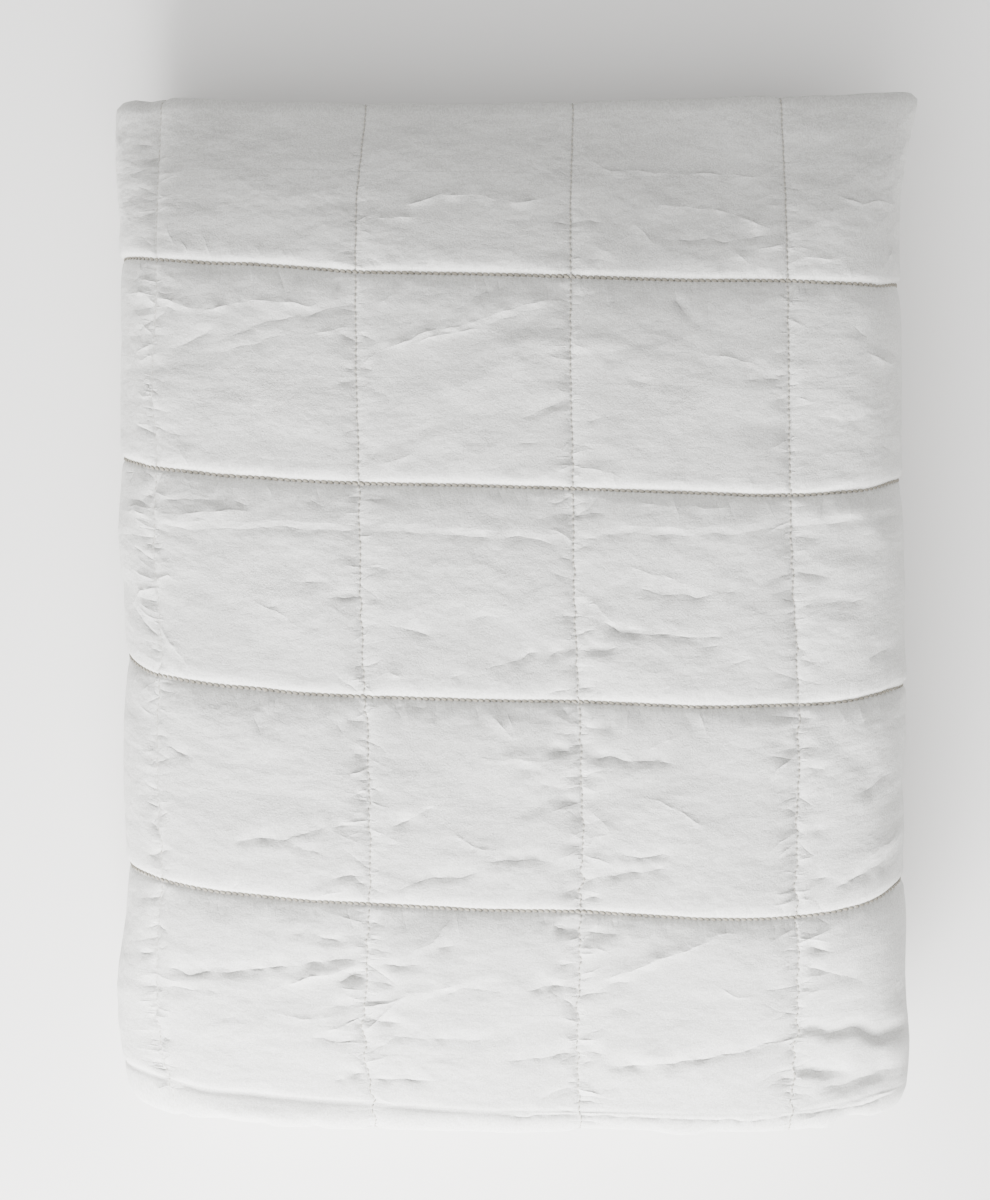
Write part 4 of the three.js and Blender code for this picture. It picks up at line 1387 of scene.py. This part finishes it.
# Marks of the stitches: the cloth is drawn down at each needle hole and stands up between, and the shadow
# in each hole is painted into the cloth's colour. Each row has the attributes to read, how dark the painted
# hole shade is, and the lift and how far it spreads.
HOLE_SIZE = 0.00062
SEAM_MARKS = [
    ("from_depth_seam", "phase_depth", 1.0, 0.00036, 0.0013),
    ("from_cross_seam", "phase_cross", 0.5, 0.00020, 0.0008),
]
marks, hole_shade = 0, 0
for distance, counted, shade_strength, lift, spread in SEAM_MARKS:
    away = g.math("ABSOLUTE", g.attribute(distance))
    wave = g.math("COSINE", g.times(g.attribute(counted), 2 * math.pi))
    marks = g.plus(marks, g.times(wave, g.times(g.falling(away, spread), lift)))
    near = g.falling(g.math("POWER", g.math("DIVIDE", away, HOLE_SIZE), 2.0), 1)
    low = g.ramp(wave, -0.35, -0.8)
    hole_shade = g.math("MAXIMUM", hole_shade, g.times(near, shade_strength, low))
closed_share = g.attribute("closed_holes")
open_marks = g.math("SUBTRACT", 1.0, g.math("POWER", closed_share, 2.0))
height = g.plus(fine, g.times(marks, open_marks))
open_hole_shade = g.times(hole_shade, g.math("SUBTRACT", 1.0, closed_share))
# Painted shade: the cloth's colour turns dark at the open needle holes.
g.put(shader, "Base Color", g.blend(open_hole_shade, cotton_tone, NEEDLE_HOLE_SHADE))
bump = g.node("ShaderNodeBump", Height=height, Strength=1.0, Distance=1.0)
g.put(shader, "Normal", bump.outputs["Normal"])
quilt_mesh.materials.append(cotton)

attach(quilt, "root")
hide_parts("quilt")


# The stitches: cotton thread, one row along every seam of the grid, set in the cloth's
# grooves. Each stitch is a short plump piece of thread that dives into the cloth at its ends.
STITCH_LENGTH, STITCH_RADIUS, STITCH_LIFT = 2.9, 0.46, 0.22
STITCH_SLANT, UNEVENNESS, SEED = math.radians(11), 0.08, 7
SUNK_LIFT, FRONT_LIFT, ROLL_LIFT, DEEP_LIFT = -0.24, 0.12, -0.6, 0.22
FRONT_PART = [-20, 160]
BEHIND_SEAM, ROLL_DEEP = 0.5, 0.2
DEEP_GROWTH = (1.6, 0.3, 0.2)  # how much broader, thicker and longer a deep stitch is
rows, depths = [], []
for i in np.flatnonzero(on_cross):
    sunk = abs(fine_u[i] - SUNK_SEAM) < 1
    lift = SUNK_LIFT if sunk else np.interp(fine_v, FRONT_PART, [STITCH_LIFT, FRONT_LIFT])
    rows.append(cloth_point(shape_u[i], shape_v[i], shape_h[i] + lift))
    depths.append(0.0)
for j in np.flatnonzero(on_depth):
    roll = abs(fine_v[j] - DEPTH_SEAMS[-1]) < 1
    lift = ROLL_LIFT if roll else DEEP_LIFT
    back = 0 if roll else BEHIND_SEAM
    rows.append(cloth_point(shape_u[:, j], shape_v[:, j] - back, shape_h[:, j] + lift))
    depths.append(ROLL_DEEP if roll else 1.0)
roll_v = np.linspace(front_bend_start - 2, top_end - 1, 16)
for seam in ALL_CROSS:
    if not wrap_start - LATE < seam < wrap_end + LATE:
        lift = SHEET / 2 - HIDDEN_RELIEF + STITCH_LIFT
        rows.append(cloth_point(np.full(roll_v.shape, seam), roll_v, np.full(roll_v.shape, lift)))
        depths.append(0.0)
row_points, row_edges, row_depths = [], [], []
for row, depth in zip(rows, depths):
    first = len(row_points)
    row_points += (row * MM).tolist()
    row_depths += [depth] * len(row)
    row_edges += [(first + n, first + n + 1) for n in range(len(row) - 1)]
rows_mesh = bpy.data.meshes.new("stitch_rows")
rows_mesh.from_pydata(row_points, row_edges, [])
# How deep each stitch lies: deep stitches are made bigger and get darker painted groove shade.
deep = rows_mesh.attributes.new("deep", "FLOAT", "POINT")
deep.data.foreach_set("value", row_depths)
stitches = bpy.data.objects.new("stitches", rows_mesh)
bpy.context.scene.collection.objects.link(stitches)

# The thread: matt grey-beige cotton, with shade painted into its colour: darker on stitches that lie deep
# in the grooves, for the shade of the groove, and darkest at the two ends of each stitch, for the shade in
# the needle holes.
THREAD_COLOUR, GROOVE_SHADE_COLOUR = (0.44, 0.42, 0.37, 1), (0.27, 0.25, 0.208, 1)
THREAD_END_SHADE = (0.035, 0.031, 0.026, 1)
thread = bpy.data.materials.new("quilting_thread")
thread.use_nodes = True
g = Graph(thread.node_tree)
thread_shader = thread.node_tree.nodes["Principled BSDF"]
deep = g.attribute("deep")
# The thread's own colour, with painted groove shade on the deep stitches.
middle = g.blend(deep, THREAD_COLOUR, GROOVE_SHADE_COLOUR)
# Painted hole shade at both ends of each stitch, stronger on the deep ones.
painted_shade_share = g.times(g.attribute("stitch_end_shade"), g.ramp(deep, 0.0, 1.0, 0.45, 1.0))
g.put(thread_shader, "Base Color", g.blend(painted_shade_share, middle, THREAD_END_SHADE))
g.put(thread_shader, "Roughness", 0.8)
g.put(thread_shader, "Specular IOR Level", 0.2)

tree = bpy.data.node_groups.new("stitches", "GeometryNodeTree")
sockets = {}
for name, kind in (
    ("Rows", "NodeSocketGeometry"),
    ("Pitch", "NodeSocketFloat"),
    ("Length", "NodeSocketFloat"),
    ("Radius", "NodeSocketFloat"),
    ("Slant", "NodeSocketFloat"),
    ("Unevenness", "NodeSocketFloat"),
    ("Seed", "NodeSocketInt"),
    ("Thread", "NodeSocketMaterial"),
):
    sockets[name] = tree.interface.new_socket(name=name, in_out="INPUT", socket_type=kind)
tree.interface.new_socket(name="Stitches", in_out="OUTPUT", socket_type="NodeSocketGeometry")
g = Graph(tree)
sizes, group_out = g.node("NodeGroupInput").outputs, g.node("NodeGroupOutput")
curve = g.node("GeometryNodeMeshToCurve", Mesh=sizes["Rows"])
curve = g.node("GeometryNodeSetCurveNormal", {"mode": "Z_UP"}, Curve=curve.outputs["Curve"])
places = g.node("GeometryNodeCurveToPoints", {"mode": "LENGTH"}, Curve=curve.outputs["Curve"])
g.put(places, "Length", sizes["Pitch"])
ball = g.node("GeometryNodeMeshUVSphere", Segments=6, Rings=7, Radius=1.0)
smooth = g.node("GeometryNodeSetShadeSmooth", Geometry=ball.outputs["Mesh"])
up = g.axes(g.node("GeometryNodeInputPosition").outputs["Position"])["Z"]
# How much painted hole shade each point of a stitch gets: none in the middle, rising towards both ends.
end_shade_share = g.math("MAXIMUM", g.math("MULTIPLY_ADD", g.math("ABSOLUTE", up), 5.5, -4.5), 0.0)
kept_as = {"data_type": "FLOAT", "domain": "POINT"}
marked = g.node("GeometryNodeStoreNamedAttribute", kept_as, Geometry=smooth.outputs["Geometry"])
g.put(marked, "Name", "stitch_end_shade")
g.put(marked, "Value", end_shade_share)
half = g.math("MULTIPLY", sizes["Length"], 0.5)
shape = g.node("ShaderNodeCombineXYZ", X=sizes["Radius"], Y=sizes["Radius"], Z=half)
stitch = g.node("GeometryNodeTransform", Geometry=marked.outputs["Geometry"], Scale=shape.outputs["Vector"])
slant = g.node("ShaderNodeCombineXYZ", X=0.0, Y=sizes["Slant"], Z=0.0)
stitch = g.node("GeometryNodeTransform", Geometry=stitch.outputs["Geometry"])
g.put(stitch, "Rotation", slant.outputs["Vector"])
uneven = g.node("FunctionNodeRandomValue", {"data_type": "FLOAT"})
g.put(uneven, 2, g.math("SUBTRACT", 1.0, sizes["Unevenness"]))
g.put(uneven, 3, g.math("ADD", 1.0, sizes["Unevenness"]))
g.put(uneven, "Seed", sizes["Seed"])
deep = g.node("GeometryNodeInputNamedAttribute", {"data_type": "FLOAT"}, Name="deep")
girth = g.node("ShaderNodeCombineXYZ")
for axis, more in zip("XYZ", DEEP_GROWTH):
    g.put(girth, axis, g.math("MULTIPLY_ADD", deep.outputs["Attribute"], more, 1.0))
size = g.node("ShaderNodeVectorMath", {"operation": "SCALE"}, Vector=girth.outputs["Vector"])
g.put(size, "Scale", uneven.outputs[1])
copies = g.node(
    "GeometryNodeInstanceOnPoints",
    Points=places.outputs["Points"],
    Instance=stitch.outputs["Geometry"],
    Rotation=places.outputs["Rotation"],
    Scale=size.outputs["Vector"],
)
real = g.node("GeometryNodeRealizeInstances", Geometry=copies.outputs["Instances"])
dyed = g.node("GeometryNodeSetMaterial", Geometry=real.outputs["Geometry"], Material=sizes["Thread"])
g.put(group_out, "Stitches", dyed.outputs["Geometry"])

modifier = stitches.modifiers.new("stitches", "NODES")
modifier.node_group = tree
for name, value in (
    ("Pitch", STITCH_PITCH * MM),
    ("Length", STITCH_LENGTH * MM),
    ("Radius", STITCH_RADIUS * MM),
    ("Slant", STITCH_SLANT),
    ("Unevenness", UNEVENNESS),
    ("Seed", SEED),
    ("Thread", thread),
):
    modifier[sockets[name].identifier] = value
depsgraph = bpy.context.evaluated_depsgraph_get()
finished = bpy.data.meshes.new_from_object(stitches.evaluated_get(depsgraph))
stitches.modifiers.clear()
stitches.data = finished

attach(stitches, "root")


# The floor: a plain pale surface that the bundle lies on. It is stage, not part of the quilt.
FLOOR_HALF = 6
FLOOR_COLOUR, FLOOR_ROUGHNESS = (0.866, 0.855, 0.838, 1), 0.9
floor_mesh = bpy.data.meshes.new("floor")
floor_corners = [(x * FLOOR_HALF, y * FLOOR_HALF, 0) for x, y in ((-1, -1), (1, -1), (1, 1), (-1, 1))]
floor_mesh.from_pydata(floor_corners, [], [(0, 1, 2, 3)])
floor = bpy.data.objects.new("floor", floor_mesh)
bpy.context.scene.collection.objects.link(floor)
floor_material = bpy.data.materials.new("pale_floor")
floor_material.use_nodes = True
g = Graph(floor_material.node_tree)
floor_shader = floor_material.node_tree.nodes["Principled BSDF"]
g.put(floor_shader, "Base Color", FLOOR_COLOUR)
g.put(floor_shader, "Roughness", FLOOR_ROUGHNESS)
floor_mesh.materials.append(floor_material)
floor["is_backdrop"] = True


# The light: one wide soft light in front of the bundle, a little to the left, a small one near
# its front edge, and the room, which is brighter in front than behind, as beside a window.
ROOM_FRONT = (-0.12, -0.87, 0.48)
ROOM_DIM, ROOM_BRIGHT = 0.45, 2.84


def area_light(name, place, target, width, height, watts):
    data = bpy.data.lights.new(name, "AREA")
    data.shape = "RECTANGLE"
    data.size, data.size_y = width, height
    data.energy = watts
    light = bpy.data.objects.new(name, data)
    bpy.context.scene.collection.objects.link(light)
    light.location = place
    direction = Vector(target) - Vector(place)
    light.rotation_euler = direction.to_track_quat("-Z", "Y").to_euler()


area_light("window", (-0.42, -2.19, 0.70), (0, 0, 0.1), 1.4, 0.7, 227)
area_light("glow", (-0.35, -0.95, 0.60), (0, -0.15, 0.1), 0.7, 0.5, 20)
world = bpy.data.worlds.new("room")
world.use_nodes = True
g = Graph(world.node_tree)
background = world.node_tree.nodes["Background"]
facing = g.node("ShaderNodeVectorMath", {"operation": "DOT_PRODUCT"})
g.put(facing, 0, g.node("ShaderNodeTexCoord").outputs["Generated"])
g.put(facing, 1, ROOM_FRONT)
brightness = g.ramp(facing.outputs["Value"], -0.1, 1.0, ROOM_DIM, ROOM_BRIGHT, "SMOOTHSTEP")
g.put(background, "Strength", brightness)
g.put(background, "Color", (1, 1, 1, 1))
bpy.context.scene.world = world

visual_low, visual_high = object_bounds()
sizes = {"cad": [list(cad_low), list(cad_high)], "visual": [list(visual_low), list(visual_high)]}
